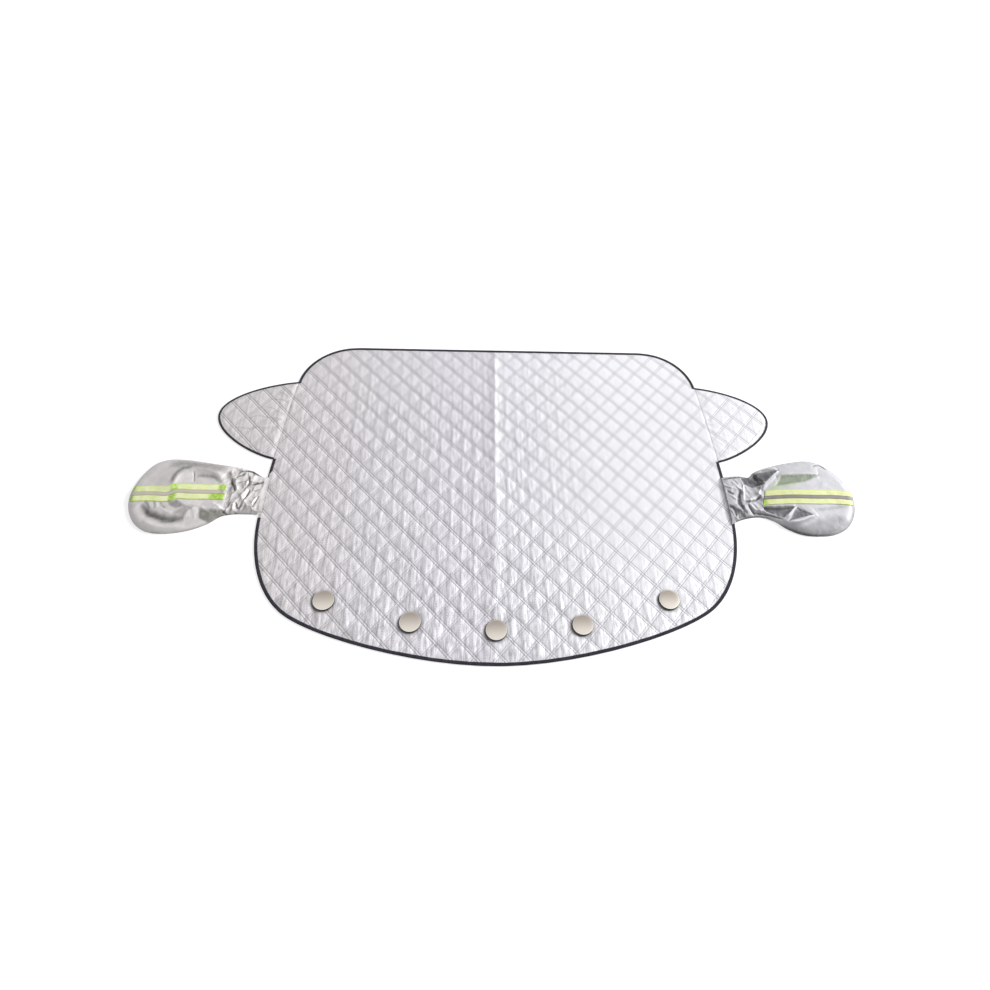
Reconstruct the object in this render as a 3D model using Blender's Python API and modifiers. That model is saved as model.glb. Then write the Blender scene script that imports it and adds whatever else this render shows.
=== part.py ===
"""Windshield frost cover, laid flat: a quilted foil panel with two door flaps,
two mirror covers on gathered necks, dark edge binding and five disc magnets.
Metres, +Z up. The origin is on the floor under the middle of the bounding box.
+X is the right side of the cover as seen from its bonnet edge, +Y is its roof edge."""

import math

import bmesh
import bpy
from mathutils import Matrix, Vector
from mathutils.geometry import interpolate_bezier

# Panel outline
PANEL_WIDTH = 1.472
PANEL_HEIGHT = 1.184
SHOULDER_WIDTH = 1.394
TOP_CORNER_RADIUS = 0.190
SIDE_LEAN = math.radians(6.0)
WIDEST_ABOVE_BOTTOM = 0.460
CHEEK_FROM_SIDE = 0.114
CHEEK_ABOVE_BOTTOM = 0.163
CHEEK_SLOPE = math.radians(40.0)
BOTTOM_ROUNDING = 0.240

# Quilted cloth
DIAMOND_WIDTH = 0.0718
DIAMOND_HEIGHT = 0.0805
QUILT_SHIFT_X = -0.0098
QUILT_SHIFT_Y = 0.0048
QUILT_TURN = math.radians(0.74)
CLOTH_AT_EDGE = 0.0014
CLOTH_AT_STITCH = 0.0029
CLOTH_AT_PUFF = 0.0062

# Edge binding, a tape folded round the edge of the cloth
TAPE_THICKNESS = 0.0008
TAPE_WIDTH = 0.010
TAPE_END_GAP = 0.0025
FIT_GAP = 0.0003

# Door flaps
FLAP_TOP = 1.018
FLAP_BOTTOM = 0.690
FLAP_REACH = 0.206
FLAP_TIP_ABOVE_BOTTOM = 0.183
FLAP_TOP_ROOT_HANDLE = (0.108, -0.015)
FLAP_BOTTOM_ROOT_HANDLE = (0.074, 0.018)
FLAP_TIP_HANDLE_UP = 0.075
FLAP_TIP_HANDLE_DOWN = 0.080

# Mirror covers: gathered neck, domed front, flat back with an elastic mouth
NECK_TOP = 0.636
NECK_BOTTOM = 0.470
NECK_LENGTH = 0.106
NECK_TOP_FLARE = 0.010
NECK_BOTTOM_FLARE = 0.007
NECK_THICKNESS = 0.012
NECK_EDGE_THICKNESS = 0.005
NECK_ARCH_POWER = 3
PLEATS = 5
PLEAT_DEPTH = 0.0030
POUCH_LENGTH = 0.307
POUCH_TIP_DROP = 0.085
POUCH_TOP_RISE = 0.047
POUCH_BOTTOM_DROP = 0.064
POUCH_TOP_NOSE = 0.080
POUCH_BOTTOM_NOSE = 0.075
POUCH_WIDEST_SHARE = 0.55
POUCH_TOP_SHOULDER_SLOPE = 0.6
POUCH_BELLY_HANDLE = 1.3
POUCH_NOSE_HANDLE = 1.6
POUCH_HEIGHT = 0.024
POUCH_ARCH_POWER = 2.4
POUCH_TIP_POWER = 6
POUCH_FILL_PHASES = (0.14, 0.76)
GATHER_FADE = 2.5
POUCH_CLOTH = 0.0010
MOUTH_LENGTH = 0.150
MOUTH_WIDTH = 0.110
MOUTH_FROM_NECK = 0.135
HEM_RADIUS = 0.0015

# Reflective tape on the mirror covers
HI_VIS_WIDTH = 0.054
STRIPE_WIDTH = 0.013
STRIP_THICKNESS = 0.0005
STRIP_LIFT = 0.0004
STRIP_FROM_NECK = 0.040
STRIP_FROM_EDGE = 0.006
STRIP_BELOW_MIDDLE = 0.0175

# Disc magnets
MAGNET_DIAMETER = 0.058
MAGNET_THICKNESS = 0.005
MAGNET_EDGE = 0.0006
MAGNET_SEAT_HEIGHT = 0.0031
OUTER_MAGNET_FROM_SIDE = {"left": 0.231, "right": 0.246}
OUTER_MAGNET_ABOVE_BOTTOM = {"left": 0.197, "right": 0.191}
INNER_MAGNET_FROM_MIDDLE = {"left": 0.258, "right": 0.230}
INNER_MAGNET_ABOVE_BOTTOM = {"left": 0.129, "right": 0.115}
CENTRE_MAGNET_FROM_MIDDLE = -0.016
CENTRE_MAGNET_ABOVE_BOTTOM = 0.102

# How finely round shapes are divided
CURVE_STEPS = 9
CORNER_STEPS = 8
POUCH_ROWS = 20
POUCH_COLUMNS = 13
NECK_ROWS = 20
NECK_COLUMNS = 5
DISC_SIDES = 28

# Levels that several pieces share
TOP_Y = PANEL_HEIGHT / 2
BOTTOM_Y = -PANEL_HEIGHT / 2
SIDE_X = PANEL_WIDTH / 2
RIM_BOTTOM = TAPE_THICKNESS + FIT_GAP
RIM_TOP = RIM_BOTTOM + CLOTH_AT_EDGE
CUT_REACH = 0.02
ABOVE_ALL = 0.08
WELD_DISTANCE = 0.00002
SIDES = {"left": -1, "right": 1}


def clear_scene():
    for obj in list(bpy.data.objects):
        bpy.data.objects.remove(obj, do_unlink=True)


def new_collection(name):
    collection = bpy.data.collections.new(name)
    bpy.context.scene.collection.children.link(collection)
    return collection


def principled(name, colour, roughness, metallic):
    material = bpy.data.materials.new(name)
    material.use_nodes = True
    shader = material.node_tree.nodes["Principled BSDF"]
    shader.inputs["Base Color"].default_value = (*colour, 1.0)
    shader.inputs["Roughness"].default_value = roughness
    shader.inputs["Metallic"].default_value = metallic
    material.diffuse_color = (*colour, 1.0)
    return material


def add_object(name, data, collection, material=None):
    obj = bpy.data.objects.new(name, data)
    collection.objects.link(obj)
    if material is not None:
        obj.data.materials.append(material)
    return obj


def hide_cutter(obj):
    obj.hide_render = True
    obj.display_type = "WIRE"
    return obj


def cut(obj, cutter, operation="DIFFERENCE"):
    modifier = obj.modifiers.new(operation.title() + " " + cutter.name, "BOOLEAN")
    modifier.operation = operation
    modifier.solver = "EXACT"
    modifier.object = cutter


def weld(obj):
    """Merges the slivers that cuts leave where their edges nearly meet."""
    modifier = obj.modifiers.new("Weld slivers", "WELD")
    modifier.merge_threshold = WELD_DISTANCE


def smooth(obj, angle=35.0):
    obj.data.shade_smooth()
    obj.data.set_sharp_from_angle(angle=math.radians(angle))


# Outlines, as lists of 2D points

def bezier(start, start_handle, end_handle, end, steps=CURVE_STEPS):
    """Points along one Bezier stretch, without its last point."""
    corners = [Vector((*point, 0.0)) for point in (start, start_handle, end_handle, end)]
    return [point.to_2d() for point in interpolate_bezier(*corners, steps + 1)[:-1]]


def arc(centre, radius, start_angle, end_angle, steps=CORNER_STEPS):
    step = (end_angle - start_angle) / steps
    angles = [start_angle + i * step for i in range(steps + 1)]
    return [Vector(centre) + radius * Vector((math.cos(a), math.sin(a))) for a in angles]


def mirrored(points):
    return [Vector((-p.x, p.y)) for p in points]


def offset(points, distance):
    """A closed outline, counter-clockwise, moved outwards by a distance."""
    moved = []
    for i, point in enumerate(points):
        before = (point - points[i - 1]).normalized()
        after = (points[(i + 1) % len(points)] - point).normalized()
        normal = Vector((before.y + after.y, -before.x - after.x)).normalized()
        mitre = max(0.5, normal.dot(Vector((after.y, -after.x))))
        moved.append(point + normal * (distance / mitre))
    return moved


def panel_right_half():
    """The panel's edge from the middle of the roof edge, down the right side, to the middle of the bonnet edge."""
    corner = Vector((SHOULDER_WIDTH / 2 - TOP_CORNER_RADIUS, TOP_Y - TOP_CORNER_RADIUS))
    points = [Vector((0.0, TOP_Y))]
    points += arc(corner, TOP_CORNER_RADIUS, math.pi / 2, SIDE_LEAN)
    shoulder = points.pop()
    widest = Vector((SIDE_X, BOTTOM_Y + WIDEST_ABOVE_BOTTOM))
    reach = (shoulder - widest).length / 3
    lean = Vector((math.sin(SIDE_LEAN), -math.cos(SIDE_LEAN)))
    points += bezier(shoulder, shoulder + lean * reach, widest + Vector((0, reach)), widest)
    cheek = Vector((SIDE_X - CHEEK_FROM_SIDE, BOTTOM_Y + CHEEK_ABOVE_BOTTOM))
    slope = Vector((math.cos(CHEEK_SLOPE), math.sin(CHEEK_SLOPE)))
    reach = (widest - cheek).length / 3
    points += bezier(widest, widest - Vector((0, reach)), cheek + slope * reach, cheek)
    bottom = Vector((0.0, BOTTOM_Y))
    points += bezier(
        cheek, cheek - slope * reach, bottom + Vector((BOTTOM_ROUNDING, 0)), bottom, CURVE_STEPS + 3
    )
    return points + [bottom]


def panel_outline():
    right = panel_right_half()
    return list(reversed(right)) + mirrored(right[1:-1])


def edge_between(high, low):
    """The panel's right edge between two heights, from the top down."""
    points = panel_right_half()
    found = []
    for a, b in zip(points, points[1:]):
        for level in (high, low):
            if a.y > level >= b.y:
                found.append(a.lerp(b, (a.y - level) / (a.y - b.y)))
        if high > b.y > low:
            found.append(b)
    return found


def edge_x(y):
    """How far out the panel's right edge is at a height."""
    return edge_between(y, y - TAPE_END_GAP)[0].x


def flap_curve():
    """The free edge of the right door flap, from its top root to its bottom root."""
    top = Vector((edge_x(BOTTOM_Y + FLAP_TOP), BOTTOM_Y + FLAP_TOP))
    low = Vector((edge_x(BOTTOM_Y + FLAP_BOTTOM), BOTTOM_Y + FLAP_BOTTOM))
    tip = Vector((low.x + FLAP_REACH, low.y + FLAP_TIP_ABOVE_BOTTOM))
    points = bezier(top, top + Vector(FLAP_TOP_ROOT_HANDLE), tip + Vector((0, FLAP_TIP_HANDLE_UP)), tip)
    points += bezier(tip, tip - Vector((0, FLAP_TIP_HANDLE_DOWN)), low + Vector(FLAP_BOTTOM_ROOT_HANDLE), low)
    return points + [low]


def flap_edge_into_panel():
    """The flap's free edge, run on straight into the panel at both roots, where it is cut off later."""
    curve = flap_curve()
    start = curve[0] + (curve[0] - curve[1]).normalized() * CUT_REACH
    end = curve[-1] + (curve[-1] - curve[-2]).normalized() * CUT_REACH
    return [start] + curve + [end]


def pouch_edges():
    """The upper and the lower edge of the right mirror cover's pouch, each from the neck to the tip."""
    neck_x = SIDE_X + NECK_LENGTH
    top_y = BOTTOM_Y + NECK_TOP + NECK_TOP_FLARE
    low_y = BOTTOM_Y + NECK_BOTTOM + NECK_BOTTOM_FLARE
    tip = Vector((neck_x + POUCH_LENGTH, top_y - POUCH_TIP_DROP))
    middle_x = neck_x + POUCH_LENGTH * POUCH_WIDEST_SHARE
    crown = Vector((middle_x, top_y + POUCH_TOP_RISE))
    belly = Vector((middle_x, low_y - POUCH_BOTTOM_DROP))
    third = (middle_x - neck_x) / 3
    rising = Vector((neck_x + third, top_y + third * POUCH_TOP_SHOULDER_SLOPE))
    level = Vector((neck_x + third, low_y))
    nose_reach = Vector((third * POUCH_NOSE_HANDLE, 0))
    belly_reach = Vector((third * POUCH_BELLY_HANDLE, 0))
    upper = bezier((neck_x, top_y), rising, crown - Vector((third, 0)), crown)
    upper += bezier(crown, crown + nose_reach, tip + Vector((0, POUCH_TOP_NOSE)), tip)
    lower = bezier((neck_x, low_y), level, belly - belly_reach, belly)
    lower += bezier(belly, belly + nose_reach, tip - Vector((0, POUCH_BOTTOM_NOSE)), tip)
    return upper + [tip], lower + [tip]


def along(points, share):
    """The point at a share of the way through a list of points."""
    place = share * (len(points) - 1)
    i = min(int(place), len(points) - 2)
    return points[i].lerp(points[i + 1], place - i)


# Solids

def mesh_of_curve(curve_object):
    """A mesh object in place of a curve object, with its caps welded on."""
    bpy.context.view_layer.update()
    graph = bpy.context.evaluated_depsgraph_get()
    mesh = bpy.data.meshes.new_from_object(curve_object.evaluated_get(graph))
    shape = bmesh.new()
    shape.from_mesh(mesh)
    bmesh.ops.remove_doubles(shape, verts=shape.verts, dist=1e-6)
    bmesh.ops.recalc_face_normals(shape, faces=shape.faces)
    shape.to_mesh(mesh)
    shape.free()
    name = curve_object.name
    collection = curve_object.users_collection[0]
    place = curve_object.matrix_world.copy()
    bpy.data.objects.remove(curve_object, do_unlink=True)
    obj = add_object(name, mesh, collection)
    obj.matrix_world = place
    return obj


def prism(name, outlines, low, high, collection, material=None):
    """A flat plate: the first outline filled, less any others, from one height to another."""
    curve = bpy.data.curves.new(name, "CURVE")
    curve.dimensions = "2D"
    curve.fill_mode = "BOTH"
    curve.extrude = (high - low) / 2
    for outline in outlines:
        spline = curve.splines.new("POLY")
        spline.points.add(len(outline) - 1)
        for point, target in zip(outline, spline.points):
            target.co = (point[0], point[1], 0.0, 1.0)
        spline.use_cyclic_u = True
    obj = add_object(name, curve, collection)
    obj.location.z = (low + high) / 2
    obj = mesh_of_curve(obj)
    if material is not None:
        obj.data.materials.append(material)
    return obj


def cutter_prism(name, outlines, low, high, cutters):
    return hide_cutter(prism(name, outlines, low, high, cutters))


def quilt_blank(name, centre, half_width, half_height, parts, material):
    """A slab of quilted cloth that covers a box: its grid runs along the stitch lines, and the middle of
    each diamond stands up."""
    reach = math.ceil(half_width / DIAMOND_WIDTH + half_height / DIAMOND_HEIGHT) + 1
    home_u = round(centre[0] / DIAMOND_WIDTH - centre[1] / DIAMOND_HEIGHT)
    home_v = round(centre[0] / DIAMOND_WIDTH + centre[1] / DIAMOND_HEIGHT)
    shape = bmesh.new()
    bmesh.ops.create_grid(shape, x_segments=2 * reach, y_segments=2 * reach, size=reach)
    for vert in shape.verts:
        u, v = home_u + vert.co.x, home_v + vert.co.y
        vert.co = ((u + v) * DIAMOND_WIDTH / 2, (v - u) * DIAMOND_HEIGHT / 2, CLOTH_AT_STITCH)
    bmesh.ops.rotate(shape, verts=shape.verts, matrix=Matrix.Rotation(QUILT_TURN, 3, "Z"))
    bmesh.ops.translate(shape, verts=shape.verts, vec=(QUILT_SHIFT_X, QUILT_SHIFT_Y, 0.0))
    for vert in bmesh.ops.poke(shape, faces=shape.faces)["verts"]:
        vert.co.z = CLOTH_AT_PUFF
    close_underneath(shape, 0.0)
    return mesh_object(name, shape, parts, material)


def close_underneath(shape, level):
    """Makes an open sheet a solid: its border goes straight down to a flat underside."""
    border = [edge for edge in shape.edges if edge.is_boundary]
    made = bmesh.ops.extrude_edge_only(shape, edges=border)["geom"]
    for vert in (item for item in made if isinstance(item, bmesh.types.BMVert)):
        vert.co.z = level
    rim = [item for item in made if isinstance(item, bmesh.types.BMEdge) and item.is_boundary]
    bmesh.ops.contextual_create(shape, geom=rim)
    bmesh.ops.recalc_face_normals(shape, faces=shape.faces)


def mesh_object(name, shape, collection, material):
    mesh = bpy.data.meshes.new(name)
    shape.to_mesh(mesh)
    shape.free()
    return add_object(name, mesh, collection, material)


def tape_profile(cutters):
    """The section of the folded tape: a U that is open towards the cloth, which lies along -X from the path."""
    outer, inner = FIT_GAP + TAPE_THICKNESS, FIT_GAP
    low, high = 0.0, RIM_TOP + FIT_GAP + TAPE_THICKNESS
    points = [
        (outer, high),
        (-TAPE_WIDTH, high),
        (-TAPE_WIDTH, high - TAPE_THICKNESS),
        (inner, high - TAPE_THICKNESS),
        (inner, low + TAPE_THICKNESS),
        (-TAPE_WIDTH, low + TAPE_THICKNESS),
        (-TAPE_WIDTH, low),
        (outer, low),
    ]
    curve = bpy.data.curves.new("tape_profile", "CURVE")
    curve.dimensions = "2D"
    spline = curve.splines.new("POLY")
    spline.points.add(len(points) - 1)
    for point, target in zip(points, spline.points):
        target.co = (point[0], point[1], 0.0, 1.0)
    spline.use_cyclic_u = True
    return hide_cutter(add_object("tape_profile", curve, cutters))


def binding(name, path, profile, parts, material):
    """A stretch of tape along a path that has the cloth on its left-hand side."""
    curve = bpy.data.curves.new(name, "CURVE")
    curve.dimensions = "2D"
    curve.fill_mode = "BOTH"
    curve.bevel_mode = "OBJECT"
    curve.bevel_object = profile
    curve.use_fill_caps = True
    spline = curve.splines.new("POLY")
    spline.points.add(len(path) - 1)
    for point, target in zip(path, spline.points):
        target.co = (point[0], point[1], 0.0, 1.0)
    obj = mesh_of_curve(add_object(name, curve, parts))
    obj.data.materials.append(material)
    return obj


def turned(name, radius, low, high, edge, parts, material, place):
    """A disc with a small chamfer round both faces."""
    shape = bmesh.new()
    bmesh.ops.create_cone(
        shape, cap_ends=True, segments=DISC_SIDES, radius1=radius, radius2=radius, depth=high - low
    )
    obj = mesh_object(name, shape, parts, material)
    obj.location = (*place, (low + high) / 2)
    if edge:
        bevel = obj.modifiers.new("Chamfer", "BEVEL")
        bevel.width = edge
        bevel.segments = 1
        bevel.limit_method = "ANGLE"
    smooth(obj)
    return obj


# The pieces

def magnet_places():
    """Each magnet's name and centre: they are set by hand, so the two sides differ a little."""
    places = {"magnet_centre": (CENTRE_MAGNET_FROM_MIDDLE, BOTTOM_Y + CENTRE_MAGNET_ABOVE_BOTTOM)}
    for side, sign in SIDES.items():
        outer_x = SIDE_X - OUTER_MAGNET_FROM_SIDE[side]
        outer_y = BOTTOM_Y + OUTER_MAGNET_ABOVE_BOTTOM[side]
        places["magnet_outer_" + side] = (sign * outer_x, outer_y)
        inner_y = BOTTOM_Y + INNER_MAGNET_ABOVE_BOTTOM[side]
        places["magnet_inner_" + side] = (sign * INNER_MAGNET_FROM_MIDDLE[side], inner_y)
    return places


def thin_rim(cloth, outline, cutters):
    """Takes the cloth down to its sewn thickness all round, where the tape folds over and under it."""
    ring = [offset(outline, CUT_REACH), offset(outline, -TAPE_WIDTH - FIT_GAP)]
    cut(cloth, cutter_prism(cloth.name + "_rim_above", ring, RIM_TOP, ABOVE_ALL, cutters))
    cut(cloth, cutter_prism(cloth.name + "_rim_below", ring, -CUT_REACH, RIM_BOTTOM, cutters))


def make_panel(parts, cutters, foil):
    outline = panel_outline()
    panel = quilt_blank("quilted_panel", (0, 0), SIDE_X, TOP_Y, parts, foil)
    cut(panel, cutter_prism("panel_shape", [outline], -CUT_REACH, ABOVE_ALL, cutters), "INTERSECT")
    thin_rim(panel, outline, cutters)
    for name, place in magnet_places().items():
        name = name.replace("magnet", "seat")
        radius = MAGNET_DIAMETER / 2 + FIT_GAP
        seat = turned(name, radius, MAGNET_SEAT_HEIGHT, ABOVE_ALL, 0, cutters, None, place)
        cut(panel, hide_cutter(seat))
    weld(panel)


def make_flap(side, sign, parts, cutters, foil, panel_clearance):
    edge = flap_edge_into_panel()
    outline = list(reversed(edge)) if sign > 0 else mirrored(edge)
    middle = flap_curve()[CURVE_STEPS]
    centre = (sign * (SIDE_X + middle.x) / 2, middle.y)
    flap = quilt_blank(
        "door_flap_" + side, centre, FLAP_REACH, (FLAP_TOP - FLAP_BOTTOM) / 2, parts, foil
    )
    cut(flap, cutter_prism("flap_shape_" + side, [outline], -CUT_REACH, ABOVE_ALL, cutters), "INTERSECT")
    cut(flap, panel_clearance)
    thin_rim(flap, outline, cutters)
    weld(flap)


def make_bindings(parts, cutters, tape, panel_clearance):
    profile = tape_profile(cutters)
    flap_top = BOTTOM_Y + FLAP_TOP + TAPE_END_GAP
    flap_low = BOTTOM_Y + FLAP_BOTTOM - TAPE_END_GAP
    neck_top = BOTTOM_Y + NECK_TOP + TAPE_END_GAP
    neck_low = BOTTOM_Y + NECK_BOTTOM - TAPE_END_GAP
    over_roof = edge_between(math.inf, flap_top)
    binding("binding_top", list(reversed(over_roof)) + mirrored(over_roof), profile, parts, tape)
    round_bonnet = edge_between(neck_low, -math.inf)
    path = mirrored(round_bonnet) + list(reversed(round_bonnet))[1:]
    binding("binding_bottom", path, profile, parts, tape)
    for side, sign in SIDES.items():
        short = edge_between(flap_low, neck_top)
        path = list(reversed(short)) if sign > 0 else mirrored(short)
        binding("binding_side_" + side, path, profile, parts, tape)
        edge = flap_edge_into_panel()
        path = list(reversed(edge)) if sign > 0 else mirrored(edge)
        round_flap = binding("binding_flap_" + side, path, profile, parts, tape)
        cut(round_flap, panel_clearance)


def pleat(across, share):
    """How far a gather stands up: pleats run lengthwise, and fade away from the neck."""
    return PLEAT_DEPTH * math.cos(2 * math.pi * PLEATS * across) * share


def make_neck(side, sign, parts, cloth, panel_clearance):
    """The gathered cloth between the panel's edge and a pouch, as one crumpled solid."""
    upper, lower = pouch_edges()
    start_x = edge_x(BOTTOM_Y + NECK_TOP) - CUT_REACH
    end_x = SIDE_X + NECK_LENGTH - FIT_GAP
    shape = bmesh.new()
    bmesh.ops.create_grid(shape, x_segments=NECK_COLUMNS, y_segments=NECK_ROWS, size=0.5)
    for vert in shape.verts:
        share, across = vert.co.x + 0.5, vert.co.y + 0.5
        blend = share * share * (3 - 2 * share)
        high = BOTTOM_Y + NECK_TOP + (upper[0].y - BOTTOM_Y - NECK_TOP) * blend
        low = BOTTOM_Y + NECK_BOTTOM + (lower[0].y - BOTTOM_Y - NECK_BOTTOM) * blend
        arch = math.sqrt(max(0.0, 1 - abs(2 * across - 1) ** NECK_ARCH_POWER))
        vert.co = (
            sign * (start_x + (end_x - start_x) * share),
            low + (high - low) * across,
            NECK_EDGE_THICKNESS + (NECK_THICKNESS - NECK_EDGE_THICKNESS) * arch + pleat(across, arch),
        )
    close_underneath(shape, 0.0)
    neck = mesh_object("mirror_cover_neck_" + side, shape, parts, cloth)
    cut(neck, panel_clearance)
    smooth(neck, 60)


def pouch_surface(sign, lift):
    """The outer face of a pouch's front as an open sheet: arched across, closed down at the tip, and gathered
    where it leaves the neck."""
    upper, lower = pouch_edges()
    rim = POUCH_CLOTH * 2 + FIT_GAP
    shape = bmesh.new()
    bmesh.ops.create_grid(shape, x_segments=POUCH_COLUMNS, y_segments=POUCH_ROWS, size=0.5)
    for vert in shape.verts:
        share, across = vert.co.x + 0.5, vert.co.y + 0.5
        share = math.sin(share * math.pi / 2)
        point = along(lower, share).lerp(along(upper, share), across)
        arch = math.sqrt(max(0.0, 1 - abs(2 * across - 1) ** POUCH_ARCH_POWER))
        phase = POUCH_FILL_PHASES[0] + (POUCH_FILL_PHASES[1] - POUCH_FILL_PHASES[0]) * share
        filled = math.sin(math.pi * phase) * math.sqrt(1 - share**POUCH_TIP_POWER)
        gather = pleat(across, max(0.0, 1 - share * GATHER_FADE)) * arch
        vert.co = (sign * point.x, point.y, rim + POUCH_HEIGHT * arch * filled + gather)
    bmesh.ops.remove_doubles(shape, verts=shape.verts, dist=1e-5)
    bmesh.ops.triangulate(shape, faces=shape.faces, quad_method="FIXED")
    if sign < 0:
        bmesh.ops.reverse_faces(shape, faces=shape.faces)
    shape.normal_update()
    for vert, normal in [(vert, vert.normal.copy()) for vert in shape.verts]:
        vert.co += normal * lift
    return shape


def make_pouch(side, sign, parts, cutters, cloth, dark):
    front = mesh_object("mirror_cover_front_" + side, pouch_surface(sign, 0), parts, cloth)
    wall = front.modifiers.new("Cloth", "SOLIDIFY")
    wall.thickness = POUCH_CLOTH
    wall.offset = -1
    smooth(front, 60)
    upper, lower = pouch_edges()
    outline = lower + list(reversed(upper))[1:]
    if sign < 0:
        outline = mirrored(outline)
    back = prism("mirror_cover_back_" + side, [outline], 0.0, POUCH_CLOTH, parts, cloth)
    mouth = mouth_outline(sign, 0.0)
    cut(back, cutter_prism("mouth_" + side, [mouth], -CUT_REACH, ABOVE_ALL, cutters))
    hem = bpy.data.curves.new("mouth_elastic_" + side, "CURVE")
    hem.dimensions = "3D"
    hem.bevel_depth = HEM_RADIUS
    hem.bevel_resolution = 1
    spline = hem.splines.new("POLY")
    ring = mouth_outline(sign, HEM_RADIUS + FIT_GAP)
    spline.points.add(len(ring) - 1)
    for point, target in zip(ring, spline.points):
        target.co = (point.x, point.y, POUCH_CLOTH + FIT_GAP + HEM_RADIUS, 1.0)
    spline.use_cyclic_u = True
    elastic = mesh_of_curve(add_object("mouth_elastic_" + side, hem, parts))
    elastic.data.materials.append(dark)
    smooth(elastic, 80)


def mouth_outline(sign, grown):
    """The oval mouth in a pouch's back, grown by a distance."""
    upper, lower = pouch_edges()
    centre = Vector((upper[0].x + MOUTH_FROM_NECK, (upper[0].y + lower[0].y) / 2))
    count = 28
    points = []
    for i in range(count):
        angle = 2 * math.pi * i / count
        points.append(
            Vector(
                (
                    sign * (centre.x + (MOUTH_LENGTH / 2 + grown) * math.cos(angle)),
                    centre.y + (MOUTH_WIDTH / 2 + grown) * math.sin(angle),
                )
            )
        )
    return points


def make_strip(name, sign, width, lift, parts, cutters, material):
    """A strip of tape that follows a pouch's front from near the neck to the tip."""
    strip = mesh_object(name, pouch_surface(sign, lift), parts, material)
    wall = strip.modifiers.new("Tape", "SOLIDIFY")
    wall.thickness = STRIP_THICKNESS
    wall.offset = 1
    upper, lower = pouch_edges()
    start = upper[0].x + STRIP_FROM_NECK
    end = upper[-1].x - STRIP_FROM_EDGE
    middle = (upper[0].y + lower[0].y) / 2 - STRIP_BELOW_MIDDLE
    footprint = [
        Vector((sign * x, y))
        for x, y in (
            (start, middle - width / 2),
            (end, middle - width / 2),
            (end, middle + width / 2),
            (start, middle + width / 2),
        )
    ]
    cut(strip, cutter_prism(name + "_shape", [footprint], -CUT_REACH, ABOVE_ALL, cutters), "INTERSECT")


def make_magnets(parts, nickel):
    low = MAGNET_SEAT_HEIGHT + FIT_GAP
    for name, place in magnet_places().items():
        turned(name, MAGNET_DIAMETER / 2, low, low + MAGNET_THICKNESS, MAGNET_EDGE, parts, nickel, place)


def main():
    clear_scene()
    parts = new_collection("windshield_frost_cover")
    cutters = new_collection("cutters")
    foil = principled("quilted_foil", (0.74, 0.74, 0.78), 0.38, 0.55)
    cloth = principled("silver_cloth", (0.62, 0.62, 0.66), 0.32, 0.50)
    tape = principled("dark_binding", (0.035, 0.035, 0.055), 0.75, 0.0)
    dark = principled("elastic", (0.05, 0.05, 0.06), 0.80, 0.0)
    yellow = principled("hi_vis_yellow", (0.72, 0.95, 0.14), 0.60, 0.0)
    grey = principled("reflective_grey", (0.48, 0.48, 0.46), 0.35, 0.40)
    nickel = principled("nickel", (0.70, 0.67, 0.61), 0.28, 1.0)

    make_panel(parts, cutters, foil)
    grown = offset(panel_outline(), FIT_GAP)
    panel_clearance = cutter_prism("panel_clearance", [grown], -CUT_REACH, ABOVE_ALL, cutters)
    make_bindings(parts, cutters, tape, panel_clearance)
    for side, sign in SIDES.items():
        make_flap(side, sign, parts, cutters, foil, panel_clearance)
        make_neck(side, sign, parts, cloth, panel_clearance)
        make_pouch(side, sign, parts, cutters, cloth, dark)
        make_strip("hi_vis_tape_" + side, sign, HI_VIS_WIDTH, STRIP_LIFT, parts, cutters, yellow)
        stripe_lift = STRIP_LIFT * 2 + STRIP_THICKNESS
        make_strip("reflective_stripe_" + side, sign, STRIPE_WIDTH, stripe_lift, parts, cutters, grey)
    make_magnets(parts, nickel)


main()
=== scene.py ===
# Windshield frost cover, laid flat: the finish of every piece, in metres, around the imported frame.
import math

import bmesh
import bpy
import numpy as np
from mathutils import Matrix, Vector
from mathutils.geometry import delaunay_2d_cdt


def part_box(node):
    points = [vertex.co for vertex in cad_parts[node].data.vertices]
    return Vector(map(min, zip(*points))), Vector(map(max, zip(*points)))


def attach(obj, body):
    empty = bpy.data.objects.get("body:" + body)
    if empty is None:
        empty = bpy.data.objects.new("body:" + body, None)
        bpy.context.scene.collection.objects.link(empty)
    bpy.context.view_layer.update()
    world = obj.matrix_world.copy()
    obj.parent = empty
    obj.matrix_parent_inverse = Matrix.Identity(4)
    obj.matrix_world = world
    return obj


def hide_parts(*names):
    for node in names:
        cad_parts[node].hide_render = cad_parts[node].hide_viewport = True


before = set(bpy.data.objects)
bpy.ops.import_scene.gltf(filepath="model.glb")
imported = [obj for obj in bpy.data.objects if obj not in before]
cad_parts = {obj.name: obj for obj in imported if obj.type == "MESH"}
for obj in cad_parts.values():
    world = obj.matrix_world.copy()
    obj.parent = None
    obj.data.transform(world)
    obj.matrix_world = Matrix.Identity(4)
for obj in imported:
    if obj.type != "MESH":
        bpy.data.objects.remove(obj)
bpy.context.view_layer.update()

sides = {"left": -1, "right": 1}


# Noise, as smooth functions of plan coordinates

def scattered(i, j, seed):
    value = np.sin(i * 127.1 + j * 311.7 + seed * 74.7) * 43758.5453
    return value - np.floor(value)


def softNoise(x, y, seed):  # from -1 to 1, one bump to each unit
    i, j = np.floor(x), np.floor(y)
    fx, fy = x - i, y - j
    sx, sy = fx * fx * (3 - 2 * fx), fy * fy * (3 - 2 * fy)
    a, b = scattered(i, j, seed), scattered(i + 1, j, seed)
    c, d = scattered(i, j + 1, seed), scattered(i + 1, j + 1, seed)
    return 2 * (a + (b - a) * sx + (c - a) * sy + (a - b - c + d) * sx * sy) - 1


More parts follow.
